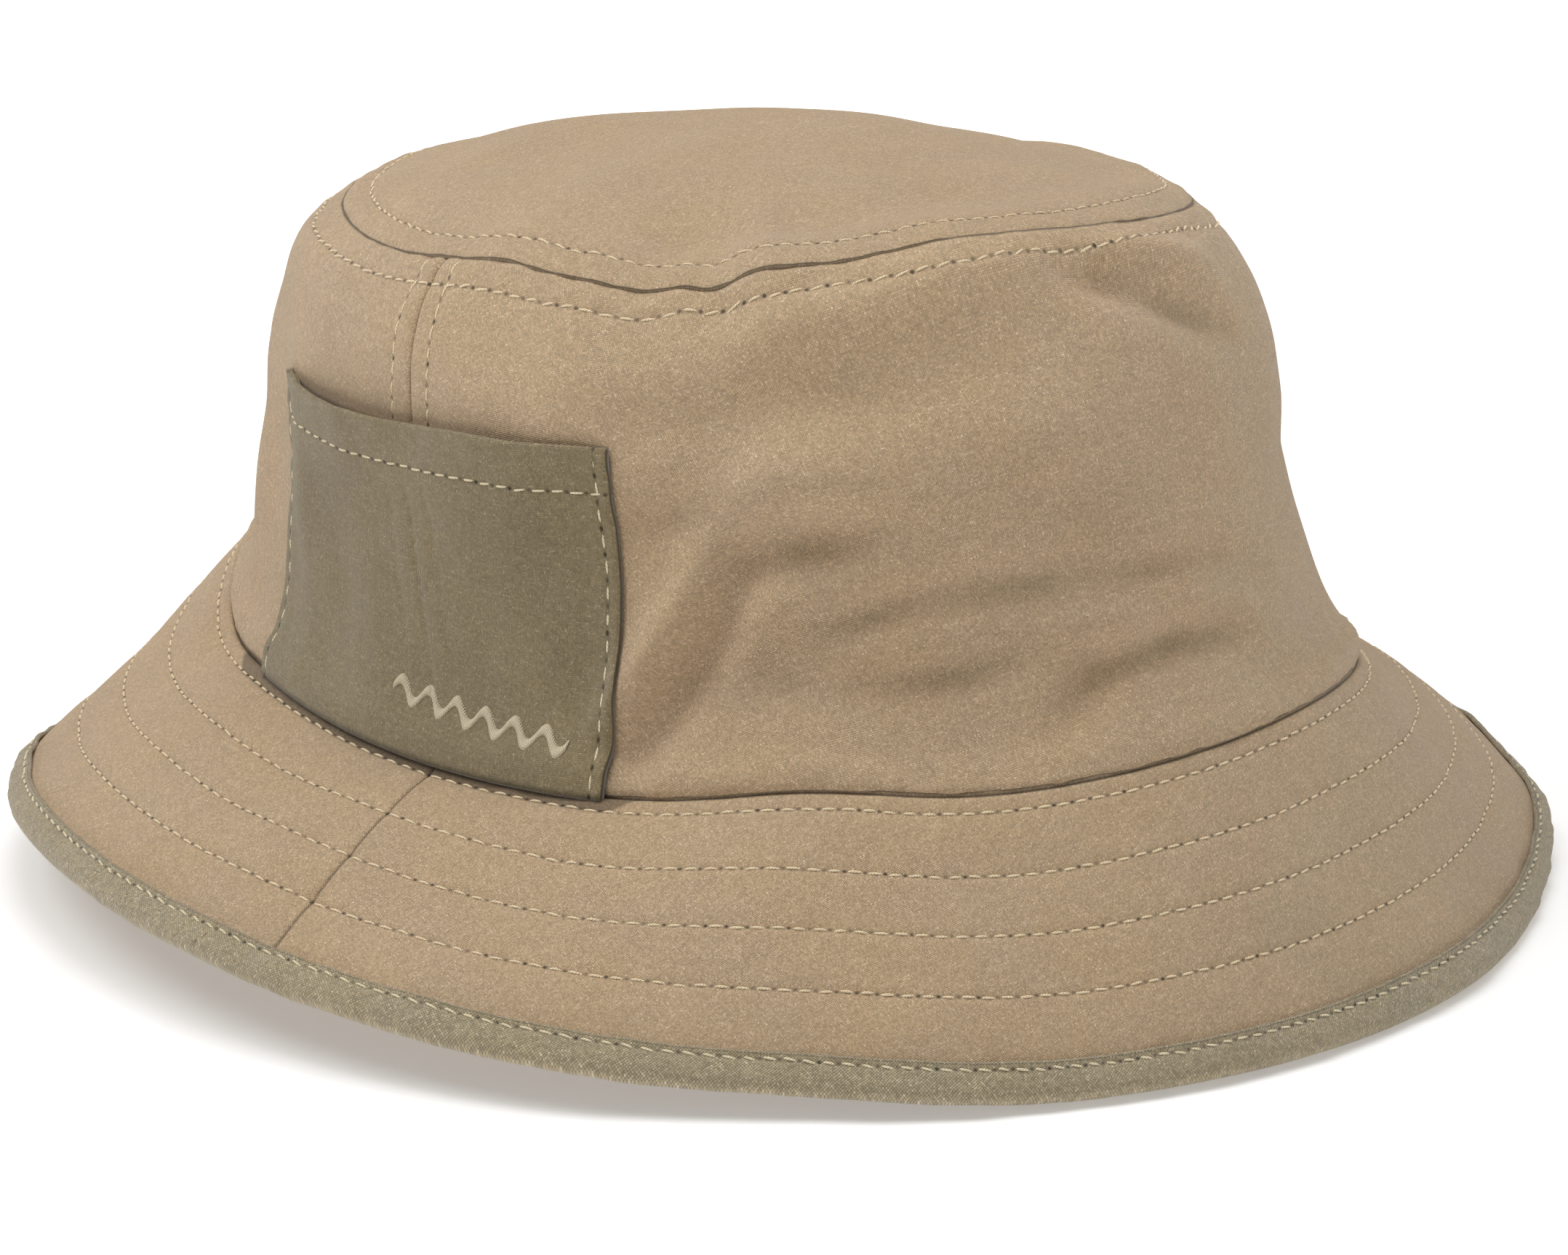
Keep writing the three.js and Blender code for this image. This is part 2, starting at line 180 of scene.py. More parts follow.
def inward_share(v):
    """The profile as a smooth curve through its knots, straight on beyond its ends."""
    x, y = PROFILE.T
    slope = np.gradient(y, x)
    inside = np.clip(v, x[0], x[-1])
    i = np.clip(np.searchsorted(x, inside, side="right") - 1, 0, len(x) - 2)
    h = x[i + 1] - x[i]
    s = (inside - x[i]) / h
    curve = (
        (1 + 2 * s) * (1 - s) ** 2 * y[i] + s * (1 - s) ** 2 * h * slope[i]
        + s * s * (3 - 2 * s) * y[i + 1] + s * s * (s - 1) * h * slope[i + 1]
    )
    return curve + (v - inside) * np.where(v < x[0], slope[0], slope[-1])


# ---- the hat's surfaces
def back_left(t):
    return np.maximum(0, np.cos(t - BACK_LEFT)) ** 4


def base_height(t):
    return BASE_HEIGHT + wave(t, BASE_WAVE) - BACK_LEFT_DIP * back_left(t) + bends(t, BASE_BENDS)


def top_height(t):
    return TOP_HEIGHT + wave(t, TOP_WAVE) + bends(t, TOP_BENDS)


def crown_row(t):
    """The height share of the topstitching round the crown."""
    return CROWN_ROW + bends(t, ROW_BENDS) / RISE


def edge_height(t):
    height = EDGE_HEIGHT + wave(t, EDGE_WAVE) + BACK_LEFT_LIFT * back_left(t) + bends(t, EDGE_BENDS)
    return np.maximum(LOWEST_EDGE, height)


def outline(t):
    """How much wider the crown is than its plain ovals, about 1."""
    return 1 + bends(t, OUTLINE_BENDS) / ARC


def crown(t, v):
    g = inward_share(v)
    half = (BASE + (TOP - BASE) * g[..., None]) * outline(t)[..., None]
    x = half[..., 0] * np.cos(t) + TOP_SHIFT[0] * v
    y = half[..., 1] * np.sin(t) + TOP_SHIFT[1] * v
    return np.stack([x, y, lerp(base_height(t), top_height(t), v)], -1)


def leaned(t, v):
    """The angle at height share v on a line that leans as the side seams do."""
    return t + SEAM_LEAN * np.sin(PI * np.clip(v, 0, 1) / 2) * np.cos(t)


def between(t, seam):
    """The angle from a seam, from minus to plus half a turn."""
    return (t - seam + PI) % TURN - PI


def tip(t, r):
    inside = np.clip(r, 0, 1.2)
    out = r * lerp(1, outline(t), inside**3)
    x = TOP[0] * np.cos(t) * out + TOP_SHIFT[0]
    y = TOP[1] * np.sin(t) * out + TOP_SHIFT[1]
    rise = (top_height(t) - TOP_HEIGHT) * inside**3
    return np.stack([x, y, TOP_HEIGHT + rise + TIP_DOME * (1 - inside**TIP_ROUNDING)], -1)


def brim(t, q):
    seam = crown(t, np.zeros_like(q))
    away = unit(np.stack([BASE[1] * np.cos(t), BASE[0] * np.sin(t)], -1))
    fall = (base_height(t) - edge_height(t)) / BRIM_WIDTH
    level = np.sqrt(1 - fall**2)
    camber = BRIM_CAMBER * 4 * q * (1 - q)
    out = q * BRIM_WIDTH * level + q**3 * bends(t, FLARES) + camber * fall
    out = out - bends(t, OUTLINE_BENDS) * smooth(0, BASE_SPREAD, q)
    down = q * BRIM_WIDTH * fall - camber * level
    return np.concatenate([seam[..., :2] + away * out[..., None], (seam[..., 2] - down)[..., None]], -1)


def unit(vectors):
    return vectors / np.linalg.norm(vectors, axis=-1, keepdims=True)


def offset(surface, t, v, rise):
    """Points a rise over a surface, along its outward normal."""
    step = 1e-4
    t, v, rise = np.broadcast_arrays(np.asarray(t, float), np.asarray(v, float), rise)
    at = surface(t, v)
    normal = np.cross(surface(t + step, v) - at, surface(t, v + step) - at)
    normal /= np.linalg.norm(normal, axis=-1, keepdims=True) + 1e-12
    outward = at * [1, 1, 0] + [0, 0, BASE_HEIGHT]
    normal *= np.sign((normal * outward).sum(-1, keepdims=True))
    return at + normal * rise[..., None]


# ---- relief: dents, creases and seam ditches
def fold(x, y, ends, width, rise):
    """A soft ridge, or a valley with a negative rise, along a line between two points."""
    (x0, y0), (x1, y1) = ends
    along = np.array([x1 - x0, y1 - y0])
    long = np.linalg.norm(along)
    s = ((x - x0) * along[0] + (y - y0) * along[1]) / long**2
    near = np.clip(s, 0, 1)
    distance = np.hypot(x - x0 - near * along[0], y - y0 - near * along[1])
    swell = 0.35 + 0.65 * np.sin(PI * np.clip(0.1 + 0.8 * near, 0, 1))
    return rise * bell(distance, width) * swell


# Folds in the crown's side: (degrees, height share) of both ends, width and rise.
CROWN_FOLDS = [
    # the long fold up from the pocket's front corner, then round to the front
    ((196.3, 0.11), (207.0, 0.48), 3.2, 2.7), ((200.6, 0.08), (211.4, 0.43), 3.5, -3.6),
    ((207, 0.59), (221, 0.62), 5.4, 2.4), ((211.5, 0.47), (222, 0.475), 5.2, -3.0),
    ((222, 0.475), (236, 0.43), 5.4, -1.6),
    ((199, 0.66), (208, 0.70), 4, 1.5), ((200, 0.535), (208.5, 0.575), 3.4, -2.1),
    # two short ones in the middle
    ((213, 0.365), (225, 0.425), 4.2, 2.0), ((225, 0.43), (242, 0.45), 5, 1.6),
    ((217, 0.295), (226, 0.345), 4.2, -2.5), ((226, 0.35), (246, 0.365), 4.4, -2.3),
    ((222, 0.265), (244, 0.30), 4, 1.9), ((209.5, 0.19), (220, 0.21), 5.5, -3.0),
    ((222, 0.19), (231, 0.225), 4, -2.3), ((231, 0.225), (245, 0.235), 4, -2.3),
    # the fold low at the front
    ((238, 0.20), (245, 0.265), 3.6, 1.6), ((245, 0.27), (258, 0.285), 4, 1.8),
    ((258, 0.285), (268, 0.25), 3.6, 1.5), ((240.5, 0.09), (247, 0.18), 3.6, -2.5),
    ((247, 0.185), (257, 0.205), 3.5, -2.8), ((257, 0.205), (267, 0.17), 3.5, -2.4),
    ((250, 0.43), (263, 0.42), 4.2, 1.4), ((251, 0.345), (264, 0.335), 4.2, -1.5),
    ((264, 0.30), (273, 0.27), 3.8, -1.3), ((240, 0.65), (250, 0.64), 4.5, 0.8),
    ((240, 0.53), (250, 0.52), 5, -1.0),
    # the deep one near the front's top
    ((257, 0.99), (276, 0.885), 3.4, 2.4), ((250, 0.935), (257, 0.90), 3, -2.6),
    ((257, 0.90), (275, 0.80), 3.6, -3.3),
    # the shoulder over the pocket and the hollow in front of it
    ((194, 0.83), (211, 0.83), 6, 1.7), ((211, 0.885), (236, 0.955), 4.2, 2.3),
    ((236, 0.955), (252, 0.99), 4.2, 1.2), ((209, 0.75), (246, 0.82), 8.5, -4.0),
    ((182, 0.90), (190, 0.80), 5, -0.8),
    # the back's shoulder and wall
    ((118, 0.9), (150, 0.9), 8, 2.0), ((129, 0.1), (131, 0.7), 12, 0.6),
    ((122, 0.6), (136, 0.2), 10, 2.4), ((140, 0.72), (150, 0.86), 7, -0.6),
    # the sides that the front's view doesn't show
    ((20, 0.7), (48, 0.5), 6, -1.8), ((60, 0.8), (85, 0.55), 6, 1.5),
    ((330, 0.3), (352, 0.18), 5, -1.5),
    ((95, 0.3), (118, 0.18), 5, -1.4), ((5, 0.4), (25, 0.2), 6, 1.3),
]
# Folds in the tip, in millimetres from its middle.
TIP_FOLDS = [
    ((-52, -27), (-38, -16), 6.5, -2.2), ((-56, -18), (-46, -34), 6, -1.2),
    ((-30, -32), (-10, -38), 9, 0.9), ((-42, 14), (-22, 2), 10, 0.7),
    ((14, -58), (30, -48), 8, -0.9), ((-30, 48), (-8, 56), 9, -0.9),
    ((28, 20), (44, 36), 10, -1.0), ((10, 0), (24, -18), 12, 0.6),
]


def crown_folds(t, v, points):
    x, y = ARC * (t % TURN), RISE * v
    rise = 0.45 * ripple(points, 46, 3) + 0.16 * ripple(points, 17, 4)
    for (t0, v0), (t1, v1), width, height in CROWN_FOLDS:
        ends = ((ARC * math.radians(t0), RISE * v0), (ARC * math.radians(t1), RISE * v1))
        rise += fold(x, y, ends, width, height)
    return rise * smooth(-0.02, 0.1, v) * (1 - 0.8 * smooth(0.93, 1, v))


def crown_relief(t, v, points):
    rise, y = crown_folds(t, v, points), RISE * v
    from_top = (1 - v) * RISE
    row = (1 - crown_row(t)) * RISE
    pucker = ripple(points, 5.5, 5)
    rise += 0.11 * pucker * bell(from_top - row / 2, 4.5)
    rise += 0.22 * bell(from_top - row / 2, 1.6) - 0.2 * bell(from_top - row, 0.6)
    rise -= 0.4 * bell(from_top, 0.6)
    roll = 0.75 + 0.35 * ripple(points, 60, 17)
    rise += roll * bell(y - 2.6, 2.2) - 0.9 * bell(y, 0.5) + 0.12 * pucker * bell(y - 2, 3)
    return rise + seam_relief(points, t, v)


def seam_relief(points, t, v):
    """The ditch of both side seams, with a topstitched welt on each side of it."""
    rise, pucker = np.zeros_like(t), ripple(points, 6, 6)
    radius = lerp(BASE[1], TOP[1], v)
    row = SIDE_ROWS * radius
    for seam in (0, PI):
        across = np.abs(between(t, leaned(np.full_like(t, seam), v))) * radius
        rise += 0.16 * bell(across - row / 2, row / 3) - 0.5 * bell(across, 0.3)
        rise += 0.07 * pucker * bell(across - row, 3) - 0.16 * bell(across - row, 0.5)
    return rise


def tip_folds(r, points):
    x, y = points[..., 0] - TOP_SHIFT[0], points[..., 1] - TOP_SHIFT[1]
    rise = 0.5 * ripple(points, 50, 7) + 0.16 * ripple(points, 18, 8)
    for start, end, width, height in TIP_FOLDS:
        rise += fold(x, y, (start, end), width, height)
    return rise * (1 - 0.85 * smooth(0.85, 1, r))


def tip_relief(t, r, points):
    rise = tip_folds(r, points)
    inward = (1 - r) * TOP[1]
    row = (1 - TIP_ROW) * TOP[1]
    rise += 0.11 * ripple(points, 5.5, 9) * bell(inward - row / 2, 4.5)
    rise += 0.22 * bell(inward - row / 2, 1.8) - 0.2 * bell(inward - row, 0.6)
    shoulder = 1.4 * bell(inward - 7.5, 5.5) * smooth(2.9, 3.15, t % TURN)
    return rise + shoulder - 0.35 * bell(inward, 0.6)


def brim_relief(t, q, points, side=1):
    rise = 0.3 * ripple(points, 38, 10) * smooth(0, 0.3, q)
    s, pucker = q * BRIM_WIDTH, ripple(points, 6.5, 11)
    for share in BRIM_ROWS:
        off = s - share * BRIM_WIDTH
        rise += 0.07 * pucker * bell(off, 3.2) - side * 0.24 * bell(off, 0.75)
    rise += side * 0.12 * np.sin(PI * np.clip((q - 0.06) / 0.2, 0, 4)) ** 2
    for seam in (0, PI):
        rise -= side * 0.28 * bell(between(t, seam) * (SEAM_RADIUS + s), 0.32)
    return rise - side * 0.45 * bell(s, 0.5)


def dressed(surface, relief):
    """Points a rise over a surface with its relief, for places (t, v)."""
    def lay(t, v, rise):
        t, v = np.broadcast_arrays(t, v)
        return offset(surface, t, v, rise + relief(t, v, surface(t, v)))
    return lay


def slack_crown(t, v, points):
    """The lining side of the crown: loose folds, no ditches."""
    return 0.15 * ripple(points, 30, 12) - 0.45 + crown_folds(t, v, points)


def slack_tip(t, r, points):
    return 0.25 * ripple(points, 32, 13) - 0.75 + tip_folds(r, points)


def binding_relief(t, q, points):
    """The face's own waves and a few puckers by the binding's stitches."""
    return 0.3 * ripple(points, 38, 10) + 0.1 * ripple(points, 7, 21) + 0.05 * ripple(points, 3.4, 22)


on_crown, on_tip, on_brim = dressed(crown, crown_relief), dressed(tip, tip_relief), dressed(brim, brim_relief)
under_brim = dressed(brim, lambda t, q, points: brim_relief(t, q, points, side=-1))
on_binding = dressed(brim, binding_relief)
inside_crown, inside_tip = dressed(crown, slack_crown), dressed(tip, slack_tip)


# ---- the pocket's surface
POCKET_FOLDS = [
    ((-33, 44), (-27, 6), 4.5, 0.7), ((-22, 40), (-15, 8), 5, -0.55), ((-10, 34), (-4, 4), 5, 0.35),
    ((6, 44), (16, 28), 9, -0.45), ((18, 30), (30, 14), 8, 0.4), ((-6, 20), (8, 8), 7, -0.35),
]


def pocket_middle(v):
    return PI - POCKET_TURN - POCKET_TWIST * v


def side_radius(v):
    """The crown's radius at its sides."""
    return lerp(BASE[1], TOP[1], inward_share(v))


def pocket_place(u, w):
    v = lerp(POCKET_BOTTOM, POCKET_MOUTH + POCKET_TILT * u + POCKET_SAG * u * u, w)
    return pocket_middle(v) + u * POCKET_HALF / side_radius(v), v


def pocket_ease(u, w):
    """How far the pocket's inner face stands off the crown."""
    gape = 0.25 + 0.75 * bell(u + 0.55, 0.35) + 0.55 * bell(u - 0.45, 0.35)
    belly = (1 - u * u) ** 0.8
    return 0.12 + belly * (1.1 + 2.3 * np.clip(w, 0, 1) ** 1.5 * gape)


def on_pocket(u, w, rise):
    """rise 0 is the panel's outer face."""
    u, w, rise = np.broadcast_arrays(np.asarray(u, float), np.asarray(w, float), rise)
    t, v = pocket_place(u, w)
    base = crown(t, v)
    x, y = u * POCKET_HALF, w * POCKET_HEIGHT
    relief = 0.2 * ripple(base, 24, 14) + 0.08 * ripple(base, 9, 15)
    for start, end, width, height in POCKET_FOLDS:
        relief += fold(x, y, (start, end), width, height)
    edge = POCKET_HALF * (1 - np.abs(u))
    relief = relief * smooth(0, 8, edge) * smooth(0, 6, y)
    relief -= 0.18 * bell(edge - POCKET_ROW, 0.7) * smooth(0, 3, POCKET_HEIGHT - y)
    relief -= 0.16 * bell(y - POCKET_HEIGHT * (1 - POCKET_HEM), 0.7)
    relief += 0.06 * ripple(base, 5, 16) * (bell(edge, 4) + bell(y - POCKET_HEIGHT, 6))
    bulge = 1.1 * bell(y - 3.0, 2.8)  # it rolls over its bottom seam
    height = pocket_ease(u, w) + SHELL + relief + bulge
    under = crown_relief(t, v, base) * smooth(0.02, 0.12, v)
    follow = lerp(np.maximum(0.6 * under, -0.3), under, bell(edge, 4))
    return offset(crown, t, v, rise + height + follow)


# ---- mesh building
# Maps at each face's corner: the cloth's place, the stitches round and up it, and the distances to seams and
# contacts; all but the first place painted shade.
LAYERS = ("cloth", "round", "upward", "seams")
QUAD = ((0, 0), (0, 1), (1, 1), (1, 0))  # steps in row and column round one face
EDGE_STEP = 0.35 / 60


class Shape:
    """Points, faces and what the materials need at each face's corners, in millimetres."""

    def __init__(self):
        self.points, self.faces, self.corners = [], [], []

    def add_points(self, points):
        """The index of the first of them."""
        self.points.append(points.reshape(-1, 3))
        return sum(map(len, self.points[:-1]))

    def grid(self, points, uv, close_rows=False, close_columns=False):
        """Quads between rows and columns. uv has one more row or column where they close."""
        rows, columns = points.shape[:2]
        start = self.add_points(points)
        i, j = np.indices((rows - (not close_rows), columns - (not close_columns))).reshape(2, -1)
        quads = [start + (i + a) % rows * columns + (j + b) % columns for a, b in QUAD]
        self.polygons(np.stack(quads, 1), np.stack([uv[i + a, j + b] for a, b in QUAD], 1))
        return start

    def polygons(self, faces, uvs):
        self.faces.append(np.array(faces))
        self.corners.append(np.array(uvs))

    def make(self, name):
        points = np.concatenate(self.points)
        volume = 0
        for block in self.faces:
            a = points[block[:, 0]]
            for k in range(1, block.shape[1] - 1):
                b, c = points[block[:, k]], points[block[:, k + 1]]
                volume += (a * np.cross(b, c)).sum()
        turn = slice(None) if volume > 0 else slice(None, None, -1)
        faces = [face for block in self.faces for face in block[:, turn].tolist()]
        corners = np.concatenate([block[:, turn].reshape(-1, block.shape[-1]) for block in self.corners])
        mesh = bpy.data.meshes.new(name)
        mesh.from_pydata((points * MM + PLACE).tolist(), [], faces)
        for k, layer_name in enumerate(LAYERS[:corners.shape[1] // 2]):
            layer = mesh.uv_layers.new(name=layer_name)
            scale = MM if k == 0 else 1
            layer.data.foreach_set("uv", (corners[:, 2 * k:2 * k + 2] * scale).ravel())
        mesh.shade_smooth()
        mesh.update()
        return add_object(name, mesh)


def add_object(name, data):
    thing = bpy.data.objects.new(name, data)
    scene.collection.objects.link(thing)
    return thing


def finish(piece, node, material):
    piece.data.materials.append(material)
    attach(piece, "root")
    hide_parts(node)


def laid(lay, columns, loop):
    """The places and points of a loop of (place across, rise) at every column."""
    v, rise = np.array(loop).T
    T, V = np.meshgrid(columns, v)
    return T, V, lay(T, V, np.broadcast_to(rise[:, None], T.shape))


def sheet_panel(name, lay, columns, rows, near, far, flatten, step=EDGE_STEP):
    """A closed sheet over a grid of columns and rows, with rounded edges all round.

    lay(t, v, rise) gives points, flatten(t, v) their place on the cloth in millimetres, and the
    edges reach a step past the first and the last row.
    """
    middle = -(near + far) / 2
    loop = [(rows[0] - step, middle)] + [(v, -near) for v in rows] + [(rows[-1] + step, middle)]
    loop += [(v, -far) for v in rows[::-1]]
    T, V, points = laid(lay, columns, loop)
    uv = flatten(T, V)
    shape = Shape()
    start = shape.grid(points, np.concatenate([uv, uv[:1]]), close_rows=True)
    n, width, total = len(rows), len(columns), len(loop)
    for column, turn in ((0, 1), (width - 1, -1)):
        k = np.arange(n - 1)
        quads = np.stack([1 + k, 2 + k, total - 2 - k, total - 1 - k], 1)
        ends = np.array([[0, 1, total - 1], [n, n + 1, n + 2]])
        for faces in (quads, ends):
            place = np.broadcast_to(uv[0, column], (*faces.shape, uv.shape[-1]))
            shape.polygons(start + faces[:, ::turn] * width + column, place)
    return shape.make(name)


def ring_band(name, lay, columns, section, flatten):
    """A closed ring round the head from a loop of (place across, rise)."""
    _, V, points = laid(lay, columns, section)
    uv = flatten(*np.meshgrid(np.append(columns, columns[0] + TURN), np.append(V[:, 0], V[0, 0])))
    shape = Shape()
    shape.grid(points, uv, True, True)
    return shape.make(name)


def round_sheet(name, lay, columns, radii, near, far, flatten):
    """A closed oval sheet on the tip."""
    loop = [(r, -near) for r in radii] + [(r, -far) for r in radii[::-1]]
    loop[len(radii) - 1] = (radii[-1] + 0.002, -near)
    _, R, points = laid(lay, columns, loop)
    wide = flatten(*np.meshgrid(np.append(columns, columns[0] + TURN), R[:, 0]))
    shape = Shape()
    start = shape.grid(points, wide, close_columns=True)
    n = len(columns)
    for ring, turn in ((0, 1), (len(loop) - 1, -1)):
        pole = shape.add_points(points[ring].mean(0))
        a = start + ring * n + np.arange(n)
        b = start + ring * n + (np.arange(n) + 1) % n
        faces = np.stack([a, b, np.full(n, pole)], 1)[:, ::-turn]
        flat = np.stack([wide[ring, :-1], wide[ring, 1:], wide[ring, :-1]], 1)[:, ::-turn]
        shape.polygons(faces, flat)
    return shape.make(name)


# ---- maps of the flat panels
CROWN_CONE, BRIM_CONE = 285, 137  # radii that the side and brim panels are cut on
FAR = 50.0  # further than any mark on the cloth reaches
JOIN, JOIN_SLANT = 3.07, 0.6  # of the binding's join: its angle, and how it leans
PLAIN = (0, FAR)
# How far from its line, in millimetres, each mark of painted shade is already lighter, or still reaches.
PANEL_SEAM, RADIAL_SEAM = 0.24, 0.28
POCKET_MOUTH_SHADE, POCKET_FOOT_SHADE = 1.2, 3.3
FOOT_START, FOOT_END = (2.5, 2.6), (3.52, 3.45)  # angles where the shade under the pocket starts and ends
BRIM_SHADE, BINDING_SHADE, HEM_SHADE = 0.6, 0.45, 0.7


def mapped(x, y, around=PLAIN, upward=PLAIN, seam=FAR, contact=FAR):
    """All that a cloth needs at each point: its place on the flat panel, then the count along and
    the distance across the stitches round and up it, then its distances to seams and contacts.
    Apart from the place on the panel, all of these place painted shade."""
    return np.stack(np.broadcast_arrays(x, y, *around, *upward, seam, contact), -1)


def nearest(rows):
    """Of several rows' (count, distance) pairs, the nearest at every point."""
    counts, distances = (np.stack(np.broadcast_arrays(*values)) for values in zip(*rows))
    pick = np.abs(distances).argmin(0)[None]
    return np.take_along_axis(counts, pick, 0)[0], np.abs(np.take_along_axis(distances, pick, 0)[0])


def from_side_seam(t):
    """The angle from the nearer side seam."""
    return np.abs((t + PI / 2) % PI - PI / 2)


def half_middle(t):
    """The middle of the front or back panel that an angle is in."""
    return np.where(np.sin(t - 1e-9) > 0, PI / 2, 3 * PI / 2)


def crown_map(t, v):
    angle = (t - half_middle(t)) * SEAM_RADIUS / CROWN_CONE
    out = CROWN_CONE - RISE * v
    leaning = leaned(t, v)
    radius = side_radius(v)
    around = (leaning * CROWN_STITCHES / TURN, (v - crown_row(leaning)) * RISE)
    across = from_side_seam(t) * radius
    upward = (v * SIDE_STITCHES, across - SIDE_ROWS * radius)
    # Painted shade in the ditches of the side seams and of the seams at the crown's top and base.
    seam = np.minimum(across + PANEL_SEAM, np.minimum(v, 1 - v) * RISE)
    w = (v - POCKET_BOTTOM) / (POCKET_MOUTH - POCKET_BOTTOM)
    u = (leaning - pocket_middle(v)) * radius / POCKET_HALF
    w = w - (POCKET_TILT * u + POCKET_SAG * u * u) / POCKET_MOUTH
    # Painted shade on the crown beside the pocket's edges and under the pocket, seen in its mouth.
    pocket = np.maximum((np.abs(u) - 1) * POCKET_HALF, (w - 1) * POCKET_HEIGHT + POCKET_MOUTH_SHADE)
    return mapped(out * np.sin(angle), CROWN_CONE - out * np.cos(angle), around, upward, seam, pocket)


def tip_map(t, r):
    x, y = TOP[0] * np.cos(t) * r, TOP[1] * np.sin(t) * r
    around = (t * TIP_STITCHES / TURN, (r - TIP_ROW) * TOP[1])
    # Painted shade in the seam round the tip's edge.
    return mapped(x, y, around, seam=(1 - r) * TOP[1])


def brim_map(t, q):
    angle = (t - half_middle(t)) * SEAM_RADIUS / BRIM_CONE
    out = BRIM_CONE + BRIM_WIDTH * q
    rows = [(t * count / TURN, (q - share) * BRIM_WIDTH)
            for share, count in zip(BRIM_ROWS, BRIM_STITCHES)]
    radial = from_side_seam(t) * (SEAM_RADIUS + BRIM_WIDTH * q)
    # Painted shade in the radial seams, along the crown's seam, wider under the pocket, and beside the
    # binding's inner edge.
    seam = np.minimum(radial + RADIAL_SEAM, np.abs(q) * BRIM_WIDTH)
    under_pocket = POCKET_FOOT_SHADE * smooth(*FOOT_START, t) * smooth(*FOOT_END, t)
    from_hem = (BINDING_SHARE - q) * BRIM_WIDTH + BINDING_SHADE
    contact = np.minimum(q * BRIM_WIDTH - under_pocket + BRIM_SHADE, from_hem)
    return mapped(out * np.sin(angle), out * np.cos(angle), nearest(rows), seam=seam, contact=contact)


def binding_map(t, q):
    """A strip cut on the bias."""
    along, across = t * BIAS_RADIUS, BRIM_WIDTH * q
    x, y = (along + across) / math.sqrt(2), (along - across) / math.sqrt(2)
    row = (t * BINDING_STITCHES / TURN, (q - BINDING_ROW) * BRIM_WIDTH)
    from_hem = (q - BINDING_SHARE) * BRIM_WIDTH
    # Painted shade in the join's ditch and along the binding's inner edge.
    join = np.abs((t - JOIN) * BINDING_RADIUS + JOIN_SLANT * from_hem)
    return mapped(x, y, row, seam=join, contact=from_hem + HEM_SHADE)


def band_map(t, v):
    return mapped(t * BAND_RADIUS, RISE * v)


def pocket_map(u, w):
    x, y = u * POCKET_HALF, w * POCKET_HEIGHT
    row = ((u + HEM_ROW_END) / (2 * HEM_ROW_END) * HEM_STITCHES, y - (1 - POCKET_HEM) * POCKET_HEIGHT)
    edge = (1 - np.abs(u)) * POCKET_HALF
    upward = (w * POCKET_STITCHES, edge - POCKET_ROW)
    # Painted shade along the pocket's edges and along its bottom.
    return mapped(x, y, row, upward, seam=edge + PANEL_SEAM, contact=y)


def unmarked(flatten):
    """A panel's map without its stitches, seams and contacts, so with no painted shade."""
    return lambda a, b: mapped(*np.moveaxis(flatten(a, b)[..., :2], -1, 0))


# ---- stitches
def stitches(rows):
    """Threads of several rows in one shape. A row is (lay, a, b, face): a and b are both ends'
    places of each stitch, and face is the height it lies at, negative under the cloth."""
    shape = Shape()
    samples, sides = 7, 6
    s = np.linspace(0, 1, samples)
    hump = np.sin(PI * s) ** 0.55
    girth = THREAD * (0.72 + 0.28 * np.sin(PI * s))
    ring = np.linspace(0, TURN, sides, endpoint=False)
    for lay, (a0, a1), (b0, b1), face in rows:
        A, B = (low[:, None] + (high - low)[:, None] * s for low, high in ((a0, a1), (b0, b1)))
        rise = np.broadcast_to(face + np.sign(face + 1e-9) * (-0.28 + 0.38 * hump), A.shape)
        centre = lay(A, B, rise)
        out = unit(lay(A, B, rise + 0.5) - centre)  # the way up, from two heights
        along = unit(np.gradient(centre, axis=1))
        across = np.cross(along, out)
        up = np.cross(across, along)
        spread = np.cos(ring)[:, None] * up[:, :, None] + np.sin(ring)[:, None] * across[:, :, None]
        count = len(A)
        start = shape.add_points(centre[:, :, None] + spread * girth[None, :, None, None])
        n, i, k = np.indices((count, samples - 1, sides)).reshape(3, -1)
        faces = [start + (n * samples + i + di) * sides + (k + dk) % sides for di, dk in QUAD]
        length = STITCH / (samples - 1)
        places = [np.stack([(i + di) * length + n * 1.7, (k + dk) * 0.26], 1) for di, dk in QUAD]
        shape.polygons(np.stack(faces, 1), np.stack(places, 1))
        for end, turn in ((0, -1), (samples - 1, 1)):
            base = start + (np.arange(count) * samples + end) * sides
            cap = (base[:, None] + np.arange(sides))[:, ::turn]
            shape.polygons(cap, np.zeros((count, sides, 2)))
    return shape


def row_round(lay, v, count, slant=0.0, seed=0, face=0.0, start=0.0, end=TURN):
    """A row of stitches all round, or between two angles."""
    rng = np.random.default_rng(seed)
    step = (end - start) / count
    middle = start + step * (np.arange(count) + 0.5)
    half = step * STITCH_SHARE / 2 * rng.uniform(0.86, 1.08, count)
    place = v(middle) if callable(v) else v
    drift = rng.normal(0, 0.0014, count) + place
    tilt = slant + rng.normal(0, 0.0012, count)
    return (lay, (middle - half, middle + half), (drift - tilt, drift + tilt), face)


def row_up(lay, at, count, seed=0):
    """A row of stitches up the whole crown or pocket, at(v) across."""
    rng = np.random.default_rng(seed)
    middle = (np.arange(count) + 0.5) / count
    half = 0.41 / count * rng.uniform(0.86, 1.08, count)  # a little longer than in the round rows
    low, high = middle - half, middle + half
    return (lay, (at(low), at(high)), (low, high), 0.0)


